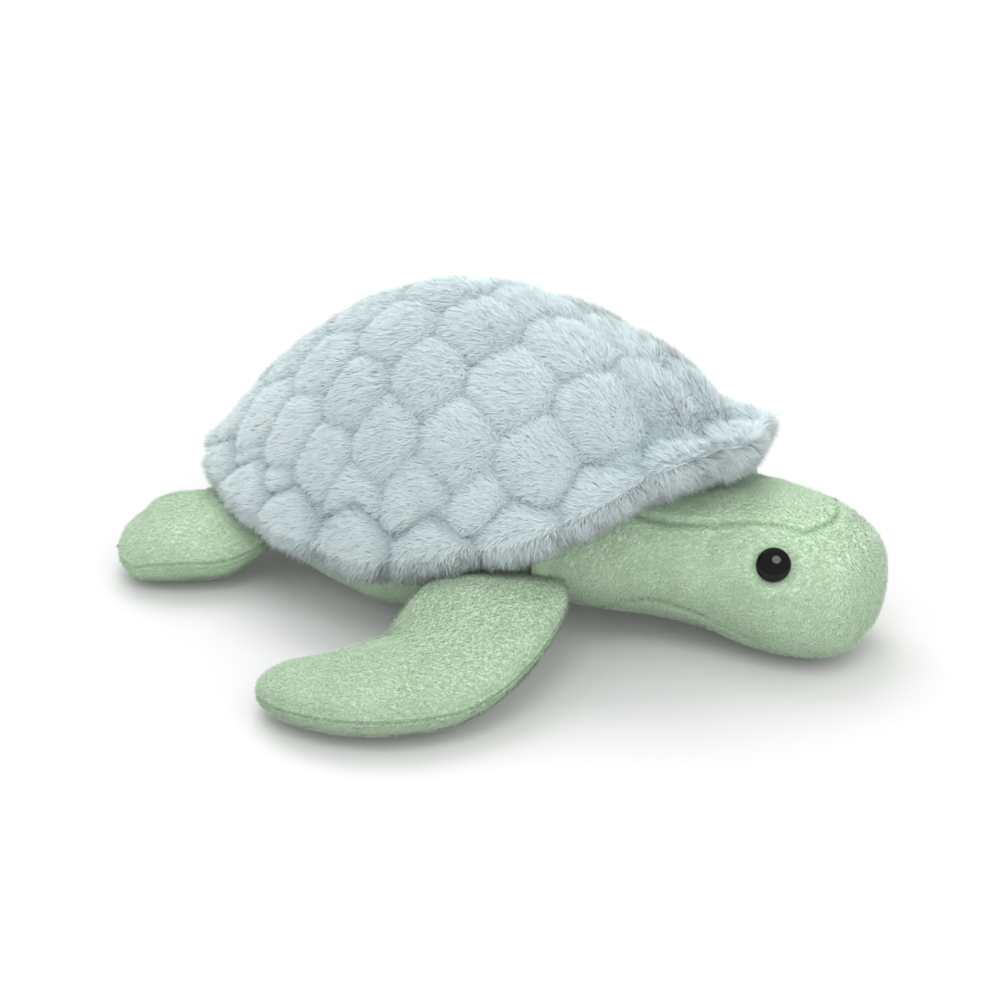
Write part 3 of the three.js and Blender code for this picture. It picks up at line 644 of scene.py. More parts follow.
def backing_material(name, grain):
    """Knitted backing seen between the fibres: the tint with a fine mottle, and a bump of its grain."""
    material, tree = new_material(name)
    mottle = grain_noise(tree, grain, detail=3)
    bump = bumped(tree, mottle, strength=0.5, distance=grain / 2)
    tone = mapped(tree, mottle, low=0.82, high=1.06, start=0.3, end=0.7)
    sources = {0: vertex_tint(tree), 1: tone}
    mixed = add_node(tree, "ShaderNodeVectorMath", {"operation": "MULTIPLY"}, sources)
    surface = principled(
        tree,
        {"Roughness": 0.95, "Sheen Weight": 0.15, "Specular IOR Level": 0.1},
        {"Base Color": mixed.outputs["Vector"], "Normal": bump},
    )
    show(tree, surface)
    return material


def eye_material():
    """Polished black ABS: near black with a sharp clear reflection and a slight moulded waviness."""
    material, tree = new_material("polished_black_abs")
    gloss = mapped(tree, grain_noise(tree, size=5 * MM, detail=1), low=0.05, high=0.11)
    black = {"Base Color": (*linear("#08080a"), 1), "IOR": 1.54}
    show(tree, principled(tree, black, {"Roughness": gloss}))
    return material


def washer_material():
    """Natural white polypropylene, moulded: milky and half matt, with a faint mould grain."""
    material, tree = new_material("moulded_white_polypropylene")
    bump = bumped(tree, grain_noise(tree, size=0.8 * MM), strength=0.2, distance=0.05 * MM)
    white = {"Base Color": (*linear("#e9e9e4"), 1), "Roughness": 0.45}
    show(tree, principled(tree, white, {"Normal": bump}))
    return material


# The shell's shape

# The rim's outline, its arch, its roll and the dome above it
FRONT_POWER, REAR_POWER = 2.25, 1.56
RIM_LIFT_SHARES = [1, 1, 0.86, 0.67, 0.46, 0.32, 0.19, 0.07, 0]
SWELL_POWER, NECK_POWER = 6, 4
NEAR_BEARING, NEAR_SPREAD = math.radians(22), math.radians(15)
DOME_POWER, DOME_POWER_SLOPE, DOME_POWER_FRONT = 1.8, -0.24, 0.55
SAG_SHARE, SAG_SPREAD = 0.68, 0.13
# The quilting: its grooves, the row along the rim with its waves as (times round, phase, size),
# the share where the rim begins, and the puffs
GROOVE_SOFT = 2.2 * MM
GROOVE_REST = 0.7
QUILT_EASE = 0.07
BAND_SHARE, BAND_SCALLOP = 0.78, 0.3
BAND_WAVES = ((3, 1.1, 0.16), (7, 0, 0.1))
RIM_SHARE = 0.88
STITCH_DEPTH, STITCH_REACH = 0.8 * MM, 1.6 * MM
PUFF_VARIETY = 0.7 * MM
PUFF_VALUES, PUFF_SEED, CELL_STEPS = 997, 4, (31, 17)
INSIDE_SHARE, INSIDE_DEPTH = 0.98, 5 * MM
ROUNDED_ROWS, ROUNDED_PASSES = 7, 16
LIP_STEPS = (0.5, 1.0)
UNDER = 1.02
# The fur: which way it lies, its wander as (size, seed, share), and its length and tint, with painted
# shade in the quilt grooves and painted light on the rim
NAP_SHARE, SIDE_FALL, DOWNHILL = 0.86, -0.3, 0.55
REARWARD = np.array([-1.0, -0.15, 0.0])
HANGING = np.array([0.0, 0.0, -0.7])
SPREAD = 0.45
SPREAD_REACH = 18 * MM
WANDER = ((30 * MM, 7, 0.3), (10 * MM, 17, 0.25))
GROOVE_REACH = (0.5 * MM, 7 * MM)
RIM_LENGTH, RIM_STAND, RIM_PAINTED_LIGHT = 0.3, 0.75, 0.85
FUR_CLOUDS, FUR_CLOUD_SEED = 26 * MM, 3
FUR_SEED, BELLY_SEED, HEAD_SEED, FLIPPER_SEED = 100, 200, 300, 400
FUR_PIECES = 5


def rim_radius(shell, bearing):
    """Two half superellipses: |cos/reach|^n + |sin/half width|^n to the power -1/n, blunter in front."""
    c = np.cos(bearing)
    reach = np.where(c > 0, shell.front_reach, shell.rear_reach)
    power = np.where(c > 0, FRONT_POWER, REAR_POWER)
    total = (np.abs(c) / reach) ** power + (np.abs(np.sin(bearing)) / shell.half_width) ** power
    return total ** (-1 / power)


def roll_radius(shell, bearing):
    """Radius of the rim's roll, which swells over the neck by a power of the cosine."""
    return shell.roll_radius + shell.front_swell * np.maximum(np.cos(bearing), 0) ** SWELL_POWER


def neck_inset(shell, bearing):
    """How much further in the belly is sewn over the neck: by a power of the cosine."""
    return shell.neck_room * np.maximum(np.cos(bearing), 0) ** NECK_POWER


def rim_point(shell, bearing, inset, drop):
    """The rim's outermost line, moved in by inset and down by drop.

    It arches up over the neck along a spline of shares of the bearing, a little more on the right,
    where a bell curve of the bearing adds to it.
    """
    c = np.cos(bearing)
    away = 2 * np.arccos(np.abs(c)) / math.pi
    signed = np.arctan2(np.sin(bearing), c) + NEAR_BEARING
    uneven = shell.near_lift * bell(signed, NEAR_SPREAD)
    arch = shell.front_lift * through(RIM_LIFT_SHARES, away) + uneven
    lift = np.where(c > 0, arch, shell.rear_lift * c * c)
    radius = rim_radius(shell, bearing) - inset
    x = shell.centre_x + radius * c
    y = radius * np.sin(bearing)
    return xyz(x, y, shell.rim_height + lift - drop)


def dome_point(shell, bearing, share, depth=0.0):
    """From the crown at share 0 to the rim at 1: outwards by the sine, down by a power of the cosine.

    The power is near 2 and changes with the bearing. Over the neck the dome sags behind the rim by
    a bell curve of the share.
    """
    angle = share * math.pi / 2
    rim = rim_point(shell, bearing, depth, 0.0)
    c = np.cos(bearing)
    power = DOME_POWER + DOME_POWER_SLOPE * c + DOME_POWER_FRONT * np.maximum(c, 0) ** 2
    out, fall = np.sin(angle), np.abs(np.cos(angle)) ** power
    crown = shell.height - depth
    x = shell.crown_x + (rim[..., 0] - shell.crown_x) * out
    sag = np.maximum(c, 0) ** 3 * bell(share - SAG_SHARE, SAG_SPREAD)
    z = rim[..., 2] + (crown - rim[..., 2]) * fall - shell.front_sag * sag
    return xyz(x, rim[..., 1] * out, z)


def quilt_depth(shell, cloth):
    """Distance in the cloth to the nearest quilt groove, place in the hexagon, and the hexagon's numbers.

    Puff centres lie on a sheared lattice; the groove between two centres is their bisector, so the
    distance is (|p-b|^2 - |p-a|^2) / 2|b-a| for the nearest centre a and each other centre b.
    """
    turn = shell.quilt_turn
    along = np.array([math.cos(turn), math.sin(turn)]) * shell.quilt_pitch
    across = np.array([math.sin(turn), -math.cos(turn)]) * shell.quilt_row
    across = across + along * (0.5 + shell.quilt_slip / shell.quilt_pitch)
    origin = np.array([-shell.quilt_back, -shell.quilt_aside])
    place = np.linalg.solve(np.stack([along, across], axis=1), (cloth - origin).T).T
    nearest = np.round(place)
    steps = np.array(list(np.ndindex(5, 5))) - 2
    cells = nearest[:, None, :] + steps[None]
    centres = origin + cells[..., :1] * along + cells[..., 1:] * across
    square = np.sum((cloth[:, None, :] - centres) ** 2, axis=-1)
    best = np.argmin(square, axis=1)
    rows = np.arange(len(cloth))
    home = centres[rows, best]
    apart = np.linalg.norm(centres - home[:, None, :], axis=-1)
    gap = (square - square[rows, best][:, None]) / (2 * np.maximum(apart, 1e-6))
    gap[rows, best] = np.inf
    return soft_least(gap), cloth - home, cells[rows, best]


def soft_least(gaps):
    """The least of some distances, rounded where two meet: -soft log(e^(-a/soft) + e^(-b/soft) ...)."""
    low = gaps.min(axis=-1)
    total = np.exp((low[..., None] - gaps) / GROOVE_SOFT).sum(axis=-1)
    return np.maximum(low - GROOVE_SOFT * np.log(total) + GROOVE_SOFT * GROOVE_REST, 0)


def rim_row(shell, bearing, above, depth):
    """Sets a row of long puffs along the rim, below the hexagons that its groove cuts off.

    Cross grooves part them at equal steps of the rim's length; a puff has its middle in front.
    The groove above them is a cosine of the place among them, and a little uneven by two sines.
    Gives the distance to the nearest groove, each puff's number, and where the row is.
    """
    rim = rim_point(shell, bearing, 0, 0)
    step = np.linalg.norm(np.roll(rim, -1, axis=0) - rim, axis=1)
    place = (np.cumsum(step) - step) / step.sum() * shell.rim_puffs
    cross = np.abs(place % 1 - 0.5) * step.sum() / shell.rim_puffs
    uneven = sum(size * np.sin(times * bearing + phase) for times, phase, size in BAND_WAVES)
    scallop = BAND_SHARE + BAND_SCALLOP * np.cos(2 * math.pi * place)
    inner = above - shell.rim_band * (scallop + uneven)
    inside = soft_least(np.stack([depth, np.maximum(inner, 0)], axis=-1))
    row = soft_least(np.stack([np.broadcast_to(cross, inner.shape), np.maximum(-inner, 0)], axis=-1))
    number = np.broadcast_to(np.floor(place + 0.5) % shell.rim_puffs, inner.shape)
    return np.where(inner > 0, inside, row), number, (inner <= 0).astype(float)


def round_off(grid, low, high):
    """Rounds the edge between two rows of a grid: each takes (before + 2 itself + after) / 4."""
    for _ in range(ROUNDED_PASSES):
        rows = grid[low : high + 1]
        grid[low + 1 : high] = (rows[:-2] + 2 * rows[1:-1] + rows[2:]) / 4


def shell_grid(shell, bearings=432, rings=128, roll=12):
    """The quilted dome, its rolled rim and its flat lip as one grid of rings, with the quilt's depth."""
    bearing = turns(bearings)
    share = np.arange(1, rings + 1)[:, None] / rings
    dome = dome_point(shell, bearing[None, :], share)
    crown = np.array([shell.crown_x, 0, shell.height])
    joined = np.concatenate([np.broadcast_to(crown, (1, bearings, 3)), dome])
    arc = np.cumsum(np.linalg.norm(np.diff(joined, axis=0), axis=-1), axis=0)
    flat = dome[..., :2] - crown[:2]
    flat_length = np.maximum(np.linalg.norm(flat, axis=-1), 1e-9)
    cloth = flat * (arc / flat_length)[..., None]
    cloth = cloth * (1 - QUILT_EASE * (arc / arc.max()) ** 2)[..., None]
    depth, off, cell = quilt_depth(shell, cloth.reshape(-1, 2))
    depth, number, in_row = rim_row(shell, bearing, arc[-1] - arc, depth.reshape(rings, bearings))
    off = off * (1 - in_row.reshape(-1, 1))
    cell = np.where(in_row.reshape(-1, 1) > 0, number.reshape(-1, 1), cell).astype(int)
    level = np.clip(depth / shell.puff_radius, 0, 1)
    puff = shell.puff_height * (np.sqrt(1 - (1 - level) ** 2) - 1)
    puff -= STITCH_DEPTH * bell(depth, STITCH_REACH)
    random = np.random.default_rng(PUFF_SEED).uniform(-1, 1, PUFF_VALUES)
    fuller = random[(cell * CELL_STEPS).sum(axis=1) % PUFF_VALUES]
    puff = puff + (fuller * PUFF_VARIETY).reshape(rings, bearings) * level
    inner = dome_point(shell, bearing[None, :], share * INSIDE_SHARE, INSIDE_DEPTH)
    sideways = xyz(np.cos(bearing), np.sin(bearing), 0.0)[None]
    turned = smoothstep(RIM_SHARE, 1.0, share)[..., None]
    outwards = unit(unit(dome - inner) * (1 - turned) + sideways * turned)
    dome = dome + outwards * puff[..., None]
    turn = (np.arange(1, roll + 1) / roll * math.pi / 2)[:, None]
    radius = roll_radius(shell, bearing)
    inset = radius * (1 - np.cos(turn)) - puff[-1][None, :]
    under = rim_point(shell, bearing[None, :], inset, radius * np.sin(turn))
    start = radius - puff[-1]
    whole = shell.lip_inset + neck_inset(shell, bearing)
    lips = [rim_point(shell, bearing, start + (whole - start) * step, radius) for step in LIP_STEPS]
    grid = np.concatenate([dome, under, np.stack(lips)])
    round_off(grid, rings - ROUNDED_ROWS, rings + ROUNDED_ROWS)
    extra = roll + len(LIP_STEPS)
    offsets = off.reshape(rings, bearings, 2)
    return {
        "grid": grid,
        "depth": np.concatenate([depth, np.repeat(depth[-1:], extra, axis=0)]),
        "off": np.concatenate([offsets, np.repeat(offsets[-1:], extra, axis=0)]),
        "crown": crown + np.array([0, 0, puff[0].mean()]),
        "share": np.concatenate([np.repeat(share, bearings, 1), np.full((extra, bearings), UNDER)]),
        "bearing": np.tile(bearing, (rings + extra, 1)),
    }


def with_poles(field, first, last):
    """A grid's field as one column, with the values at the two poles added."""
    flat = field.reshape((-1,) + field.shape[2:])
    return np.concatenate([flat, [first], [last]])


def shell_nap(points, normals, share, bearing, off):
    """Which way the fur lies: rearwards on the dome, outwards at the rim, a little off a puff's middle.

    Between the two it turns round over the side, so that it never stands against itself.
    """
    outward = xyz(np.cos(bearing), np.sin(bearing), 0.0)
    downhill = unit(outward - normals * np.einsum("ij,ij->i", outward, normals)[:, None])
    level = np.cross(normals, downhill)
    rim = smoothstep(NAP_SHARE, 1.0, share)
    ahead = np.clip(np.cos(bearing), 0, 1)
    side = xyz(0.0, np.where(points[:, 1] > 0, 1.0, -1.0), SIDE_FALL)
    turning = 4 * rim * (1 - rim) * ahead
    comb = REARWARD * (1 - rim)[:, None] * (0.85 + 0.15 * ahead)[:, None]
    hanging = outward + HANGING
    comb = comb + downhill * (DOWNHILL * (1 - ahead) * (1 - rim))[:, None] + hanging * rim[:, None]
    comb = comb + side * turning[:, None]
    aim = np.arctan2(points[:, 1], points[:, 0])
    outer = off[:, 0] * np.cos(aim) + off[:, 1] * np.sin(aim)
    around = off[:, 1] * np.cos(aim) - off[:, 0] * np.sin(aim)
    spread = (downhill * outer[:, None] + level * around[:, None]) / SPREAD_REACH
    wander = sum(vector_noise(points, size, seed) * share for size, seed, share in WANDER)
    return comb + spread * SPREAD + wander


def shell_skin(shell):
    """The shell's surface with its nap, fur length, tint and fur density at each vertex."""
    made = shell_grid(shell)
    skin = closed_surface(made["grid"], made["crown"])
    normals = surface_normals(skin)
    points = skin["points"]
    depth = with_poles(made["depth"], made["depth"][0].mean(), 0)
    share = with_poles(made["share"], 0, 2)
    bearing = with_poles(made["bearing"], 0, 0)
    comb = shell_nap(points, normals, share, bearing, with_poles(made["off"], [0, 0], [0, 0]))
    edge = smoothstep(RIM_SHARE, 1.0, share)
    near = np.maximum(smoothstep(*GROOVE_REACH, depth), 0.8 * smoothstep(1.0, UNDER, share))
    size = shell.fur_length * (0.55 + 0.45 * near) * (1 + RIM_LENGTH * edge)
    cloudy = value_noise(points, FUR_CLOUDS, FUR_CLOUD_SEED) * 0.5 + 0.5
    # Painted shade: the fur is tinted darker towards the quilt grooves, and paler on the puffs in random
    # clouds.
    tint = mix(shell.fur_groove_shade, shell.fur_mid, 0.5 + 0.5 * near)
    # Painted light: the rim's fur, which faces sideways and down, is tinted pale.
    pale = (0.35 + 0.45 * cloudy) * near * (1 - edge) + RIM_PAINTED_LIGHT * edge
    tint = mix(tint, shell.fur_light, pale)
    lip = np.zeros(made["grid"].shape[:2])
    lip[-len(LIP_STEPS) :] = 1
    weight = np.where(with_poles(lip, 0, 1) > 0, 0.0, 1 + edge)
    stand = RIM_STAND * edge
    skin.update(normals=normals, comb=comb, length=size, tint=tint, weight=weight, stand=stand)
    return skin


# The green pieces' shapes

# Along the head: its outlines as shares of its height and half width, and its two gussets
HEAD_TOP_SHARES = [1.12, 1.12, 1.08, 1.045, 1.035, 0.99, 0.9, 0.75, 0.45]
HEAD_UNDER_SHARES = [0.17, 0.14, 0.1, 0.06, 0, -0.01, 0.02, 0.14, 0.45]
HEAD_WIDTH_SHARES = [1.75, 1.48, 1.14, 1.02, 1, 0.99, 0.88, 0.63, 0]
HEAD_STEP_SHARES = [0, 0.16, 0.32, 0.47, 0.61, 0.74, 0.86, 0.95, 1]
CROWN_WIDTH_SHARES = [1.11, 1.05, 1, 0.88, 0.72, 0.57, 0.46]
CHIN_WIDTH_SHARES = [1.16, 1.16, 1.12, 0.96, 0.85, 0.73, 0.32]
# The eyes' places, sections, seams and stuffing
EYE_ALONG_SHARE = 0.72
EYE_HEIGHT_SHARE = 0.77
EYE_SINK = 2.7 * MM
EYE_BACK, EYE_RIM, EYE_TOP = -2.2 * MM, -0.4 * MM, 0.6 * MM
SECTION_POWER = 2.25
CROWN_END, CHIN_END, SEAM_BOW = 155 * MM, 170 * MM, 6 * MM
SEAM_DEPTH, SEAM_REACH = 1.2 * MM, 1.9 * MM
EDGE_DEPTH, EDGE_REACH = 0.6 * MM, 1.5 * MM
HEAD_SWELL, FLIPPER_SWELL = 2.0 * MM, 2.2 * MM
EYE_PULL, EYE_PULL_REACH = 1.1 * MM, 2.6 * MM
# Tints of painted shade, at the neck root and along the seams, held stretches from 0 to 1, the lie of the
# pile, counts of rings, and where no pile grows
NECK_PAINTED_SHADE = 0.86
NECK_PAINTED_SHADE_REACH = (78 * MM, 125 * MM)
HEAD_HELD, FLOOR_HELD, EDGE_HELD = (112 * MM, 102 * MM), (2 * MM, 0.5 * MM), (5 * MM, 2 * MM)
SEAM_SHADE_REACH = (0.1 * MM, 2.2 * MM)
GREEN_CLOUDS, BELLY_CLOUDS, HEAD_CLOUDS, FLIPPER_CLOUDS = 9 * MM, 40, 60, 80
GREEN_WANDER = ((11 * MM, 1, 0.5), (3.5 * MM, 2, 0.5))
BELLY_NAP, FLIPPER_NAP = np.array([-0.8, 0.0, -0.4]), np.array([-0.5, 0.0, -0.2])
HEAD_NAP, NOSE_NAP = np.array([-0.9, 0.0, -0.25]), np.array([0.5, 0.0, -1.2])
HEAD_RINGS, HEAD_AROUND, HEAD_LAST, HEAD_CROWDING = 150, 220, 0.995, 1.25
BELLY_RINGS, BELLY_AROUND, BELLY_LAST = 56, 240, 0.985
EYE_RINGS, EYE_AROUND, EYE_BACK_SHARE = 26, 64, 0.9
PILE_START = 70 * MM
BELLY_BARE, FLIPPER_BARE, BARE_DENSITY = 1.2 * MM, 0.8 * MM, 0.15
SEAM_START, SECTION_SAMPLES, SEAT_SAMPLES, LINE_CHUNKS = -10 * MM, 400, 600, 16
# Joints, belly and the cloth's grain
NECK_BEND, NECK_MIDDLE, NECK_FRONT = 24 * MM, -0.3, 0.7
BELLY_POWER, BELLY_GAP, BELLY_SINK = 0.62, 0.6 * MM, 0.5 * MM
BELLY_PILE_SHARE = 0.65
BLUE_GRAIN, GREEN_GRAIN = 1.2 * MM, 0.9 * MM
FUR_SHEEN, PILE_SHEEN = 0.25, 0.3
NECK_NODES = {
    "neck_back": ("throat_stuffing",),
    "neck_front": ("neck_wad",),
    "head": ("head_top_gusset", "chin_gusset", "head_side_left", "head_side_right", "head_stuffing"),
}


def belly_point(shell, skin, bearing, share):
    """From the seam under the rim at share 0 to the flat at 1: inwards by a power of the cosine."""
    angle = share * math.pi / 2
    inset = skin.belly_inset + neck_inset(shell, bearing)
    seam = rim_point(shell, bearing, inset, roll_radius(shell, bearing) + BELLY_GAP)
    out = np.abs(np.cos(angle)) ** BELLY_POWER
    level = seam[..., 2] - (seam[..., 2] + BELLY_SINK) * np.sin(angle)
    x = shell.centre_x + (seam[..., 0] - shell.centre_x) * out
    return xyz(x, seam[..., 1] * out, np.maximum(level, 0))


def head_sections(skin, share):
    """Centre height, half height and half width of the head's oval sections, and their place along X."""
    step = through(HEAD_STEP_SHARES, share)
    x = skin.head_root + (skin.nose_reach - skin.head_root) * step
    top = skin.head_height * through(HEAD_TOP_SHARES, share)
    under = skin.head_height * through(HEAD_UNDER_SHARES, share)
    width = skin.head_half_width * through(HEAD_WIDTH_SHARES, share)
    return x, (top + under) / 2, np.maximum((top - under) / 2, 0), np.maximum(width, 0)


def oval(share):
    """How high a superellipse section is at that share of its half width: (1 - |share|^n)^(1/n)."""
    return np.maximum(1 - np.abs(share) ** SECTION_POWER, 0) ** (1 / SECTION_POWER)


def signed_power(value, power):
    """A power of a value's size, with the value's sign."""
    return np.sign(value) * np.abs(value) ** power


def head_point(skin, share, angle):
    """A point on the superellipse section at that share of the head's length; it rests on the floor."""
    x, middle, tall, wide = head_sections(skin, share)
    y = wide * signed_power(np.cos(angle), 2 / SECTION_POWER)
    z = np.maximum(middle + tall * signed_power(np.sin(angle), 2 / SECTION_POWER), 0)
    return xyz(x, y, z)


def seam_line(skin, width_shares, end_x, upper, count=160):
    """A gusset's outline on the head: half widths from the neck to its front edge, which bows."""
    start_x = skin.head_root + SEAM_START
    t = np.linspace(0, 1, count)
    half = skin.head_half_width * through(width_shares, t)
    x = start_x + (end_x - start_x) * t
    s = np.linspace(-1, 1, count // 2)
    x = np.concatenate([x, end_x + SEAM_BOW * (1 - s * s), x])
    half = np.concatenate([-half, s * half[-1], half])
    xs, middles, talls, wides = head_sections(skin, np.linspace(0, 1, SECTION_SAMPLES))
    middle, tall, wide = (np.interp(x, xs, field) for field in (middles, talls, wides))
    cosine = np.clip(half / np.maximum(wide, 1e-6), -1, 1)
    rise = oval(cosine) * (1 if upper else -1)
    return xyz(x, wide * cosine, np.maximum(middle + tall * rise, 0))


def draw_in(made, normals, depth):
    """Moves a skin inwards to make room for its pile; what lies on the floor stays there."""
    points = made["points"] - normals * depth
    points[:, 2] = np.maximum(points[:, 2], FLOOR_GAP)
    made["points"] = points


def distance_to_line(points, line):
    """Distance from each point to the nearest point of a line."""
    best = np.full(len(points), np.inf)
    for chunk in np.array_split(np.arange(len(line)), LINE_CHUNKS):
        gap = points[:, None, :] - line[None, chunk]
        best = np.minimum(best, np.sqrt((gap**2).sum(axis=-1)).min(axis=1))
    return best


def sew(made, gap, depth, reach):
    """Draws the cloth in along its seams by a bell curve of the distance to them."""
    made["points"] = made["points"] - surface_normals(made) * (depth * bell(gap, reach))[:, None]


def green_fields(skin, made, normals, seam, nap, seed):
    """Nap, pile length, tint and density of a green skin, shorter at its seams and tinted darker there as
    painted shade.
    """
    points = made["points"]
    near = smoothstep(*SEAM_SHADE_REACH, seam)
    cloudy = value_noise(points, GREEN_CLOUDS, seed) * 0.5 + 0.5
    # Painted shade along the seams' valleys, and paler pile away from them in random clouds.
    tint = mix(skin.pile_seam_shade, skin.pile_mid, 0.35 + 0.65 * near)
    tint = mix(tint, skin.pile_light, (0.25 + 0.4 * cloudy) * near)
    size = skin.pile_length * (0.6 + 0.4 * near)
    weight, stand = np.ones(len(points)), np.zeros(len(points))
    comb = nap
    for grain, step, share in GREEN_WANDER:
        comb = comb + vector_noise(points, grain, seed + step) * share
    made.update(normals=normals, comb=comb, length=size, tint=tint, weight=weight, stand=stand)


LOCK_LOOK = {"steps": 2, "stray": 0.25, "twist": 0.3, "round": 0.2}
FUR_LOOK = {
    **LOCK_LOOK,
    "lean": (0.6, 1.25),
    "clump_size": 2.2 * MM,
    "clump": 0.6,
    "lift": 0.2,
    "wave": 0.2,
    "tone": 0.03,
    "soft": 0.9,
    # Shades from root to tip: painted shade between the locks and painted light at the tips.
    "shades": [0.8, 0.98, 1.06],
}
PILE_LOOK = {
    **LOCK_LOOK,
    "lean": (0.6, 1.15),
    "clump_size": 1.3 * MM,
    "clump": 0.5,
    "lift": 0.15,
    "wave": 0.1,
    "tone": 0.05,
    "soft": 0.97,
    # Shades from root to tip: painted shade between the locks and painted light at the tips.
    "shades": [0.66, 0.96, 1.08],
}


def pile_locks(name, skin, made, density, seed, material):
    """Green pile over a skin, at that many locks to a square millimetre."""
    count = int(grown_area(made).sum() / 2 / MM**2 * density)
    return grow_locks(name, made, dict(PILE_LOOK, width=skin.pile_width), count, seed, material)


# Operators


class TurtleOperator:
    """What the turtle's operators share: undo, and a build from the two groups of settings."""

    bl_options = {"REGISTER", "UNDO"}

    def execute(self, context):
        self.build(context.scene.turtle_shell, context.scene.turtle_skin)
        return {"FINISHED"}


# The camera, the floor and the sky; lamps as (name, place, target, size, watts, mirrored)
CAMERA_BEARING, CAMERA_RISE, CAMERA_DISTANCE = math.radians(28), math.radians(23), 1.0
CAMERA_TARGET_MM = (26.47, -20.54, 45)
FLOOR_HALF = 6.0
FLOOR_GREY, FLOOR_GREY_MIRRORED = 0.66, 0.3
FLOOR_GLOW, FLOOR_GLOW_REACH = (0.05, 0.27), (0.4, 2.0)
SKY, SKY_SEEN, SKY_MIRRORED = 1.0, 0.95, 0.3
LAMPS = (
    ("key_softbox", (-0.6, 0.6, 1.4), (0, 0, 0.05), 1.3, 12, False),
    ("front_fill", (1.3, -1.0, 0.8), (0.02, 0, 0.05), 1.3, 7, False),
    ("eye_glint", (0.32, -0.65, 1.1), (0.15, -0.03, 0.05), 0.6, 3, True),
)


class TURTLE_OT_stage(TurtleOperator, bpy.types.Operator):
    """Pale floor, soft studio light and the camera at the photographed angle"""

    bl_idname = "turtle.stage"
    bl_label = "Stage"

    def build(self, shell, skin):
        scene = bpy.context.scene
        scene.view_settings.view_transform = "Standard"
        self.camera(scene)
        self.floor()
        self.world(scene)
        for lamp in LAMPS:
            self.lamp(*lamp)

    def hang(self, item, place, direction):
        """Puts a camera or lamp in the scene, turned to look along a direction."""
        item.location = place
        item.rotation_mode = "QUATERNION"
        item.rotation_quaternion = direction.to_track_quat("-Z", "Y")
        bpy.context.scene.collection.objects.link(item)

    def camera(self, scene):
        """A long lens that looks at the target from the photograph's bearing and height."""
        across, level = math.sin(CAMERA_BEARING), math.cos(CAMERA_RISE)
        back = Vector((across * level, -math.cos(CAMERA_BEARING) * level, math.sin(CAMERA_RISE)))
        data = bpy.data.cameras.new("camera")
        data.lens, data.sensor_width, data.sensor_fit = 90, 36, "HORIZONTAL"
        data.clip_start, data.clip_end = 0.05, 50
        scene.camera = bpy.data.objects.new("camera", data)
        self.hang(scene.camera, Vector(CAMERA_TARGET_MM) * MM + back * CAMERA_DISTANCE, -back)

    def floor(self):
        """A wide pale floor that glows a little to the camera and in mirrors, and more so far off."""
        material, tree = new_material("pale_paper_floor")
        path = add_node(tree, "ShaderNodeLightPath").outputs
        seen = combined(tree, "MAXIMUM", path["Is Camera Ray"], path["Is Glossy Ray"])
        place = {"Vector": add_node(tree, "ShaderNodeTexCoord").outputs["Object"]}
        far = add_node(tree, "ShaderNodeVectorMath", {"operation": "LENGTH"}, place).outputs["Value"]
        lifted = mapped(tree, far, *FLOOR_GLOW, *FLOOR_GLOW_REACH)
        strength = combined(tree, "MULTIPLY", seen, lifted)
        glow = add_node(tree, "ShaderNodeEmission", {"Color": (1, 1, 1, 1)}, {"Strength": strength})
        grey = mapped(tree, path["Is Glossy Ray"], FLOOR_GREY, FLOOR_GREY_MIRRORED)
        paper = add_node(tree, "ShaderNodeBsdfDiffuse", None, {"Color": grey})
        sources = {0: glow.outputs["Emission"], 1: paper.outputs["BSDF"]}
        show(tree, add_node(tree, "ShaderNodeAddShader", None, sources).outputs["Shader"])
        half = FLOOR_HALF
        mesh = bpy.data.meshes.new("floor")
        corners = [(-half, -half, 0), (half, -half, 0), (half, half, 0), (-half, half, 0)]
        mesh.from_pydata(corners, [], [(0, 1, 2, 3)])
        floor = new_object("floor", mesh, material)

    def world(self, scene):
        """An even pale surround that lights softly, shows near white, and is dimmer in mirrors."""
        world = bpy.data.worlds.new("studio")
        world.use_nodes = True
        tree = world.node_tree
        tree.nodes.clear()
        path = add_node(tree, "ShaderNodeLightPath").outputs
        seen = mapped(tree, path["Is Camera Ray"], SKY, SKY_SEEN)
        dimmed = mapped(tree, path["Is Glossy Ray"], SKY, SKY_MIRRORED)
        strength = combined(tree, "MULTIPLY", seen, dimmed)
        sky = add_node(tree, "ShaderNodeBackground", {"Color": (1, 1, 1, 1)}, {"Strength": strength})
        add_node(tree, "ShaderNodeOutputWorld", None, {"Surface": sky.outputs["Background"]})
        scene.world = world

    def lamp(self, name, place, target, size, power, mirrored):
        """A round softbox; only the small one is mirrored in the eyes."""
        data = bpy.data.lights.new(name, "AREA")
        data.shape, data.size, data.energy = "DISK", size, power
        lamp = bpy.data.objects.new(name, data)
        lamp.visible_glossy = mirrored
        self.hang(lamp, place, Vector(target) - Vector(place))


class TURTLE_OT_shell(TurtleOperator, bpy.types.Operator):
    """Quilted shell with its rolled rim and long pale fur"""

    bl_idname = "turtle.shell"
    bl_label = "Shell"

    def build(self, shell, skin):
        made = shell_skin(shell)
        backing = backing_material("knitted_polyester_backing_blue", BLUE_GRAIN)
        base = skin_object("shell_quilt", made, backing)
        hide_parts("shell_top", "body_stuffing")
        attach(base, "body")
        fibre = lock_material("long_pile_polyester_fur", FUR_SHEEN)
        look = dict(FUR_LOOK, width=shell.fur_width)
        fur = grow_locks("shell_fur", made, look, shell.fur_count, FUR_SEED, fibre, FUR_PIECES)
        for piece in fur:
            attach(piece, "body")


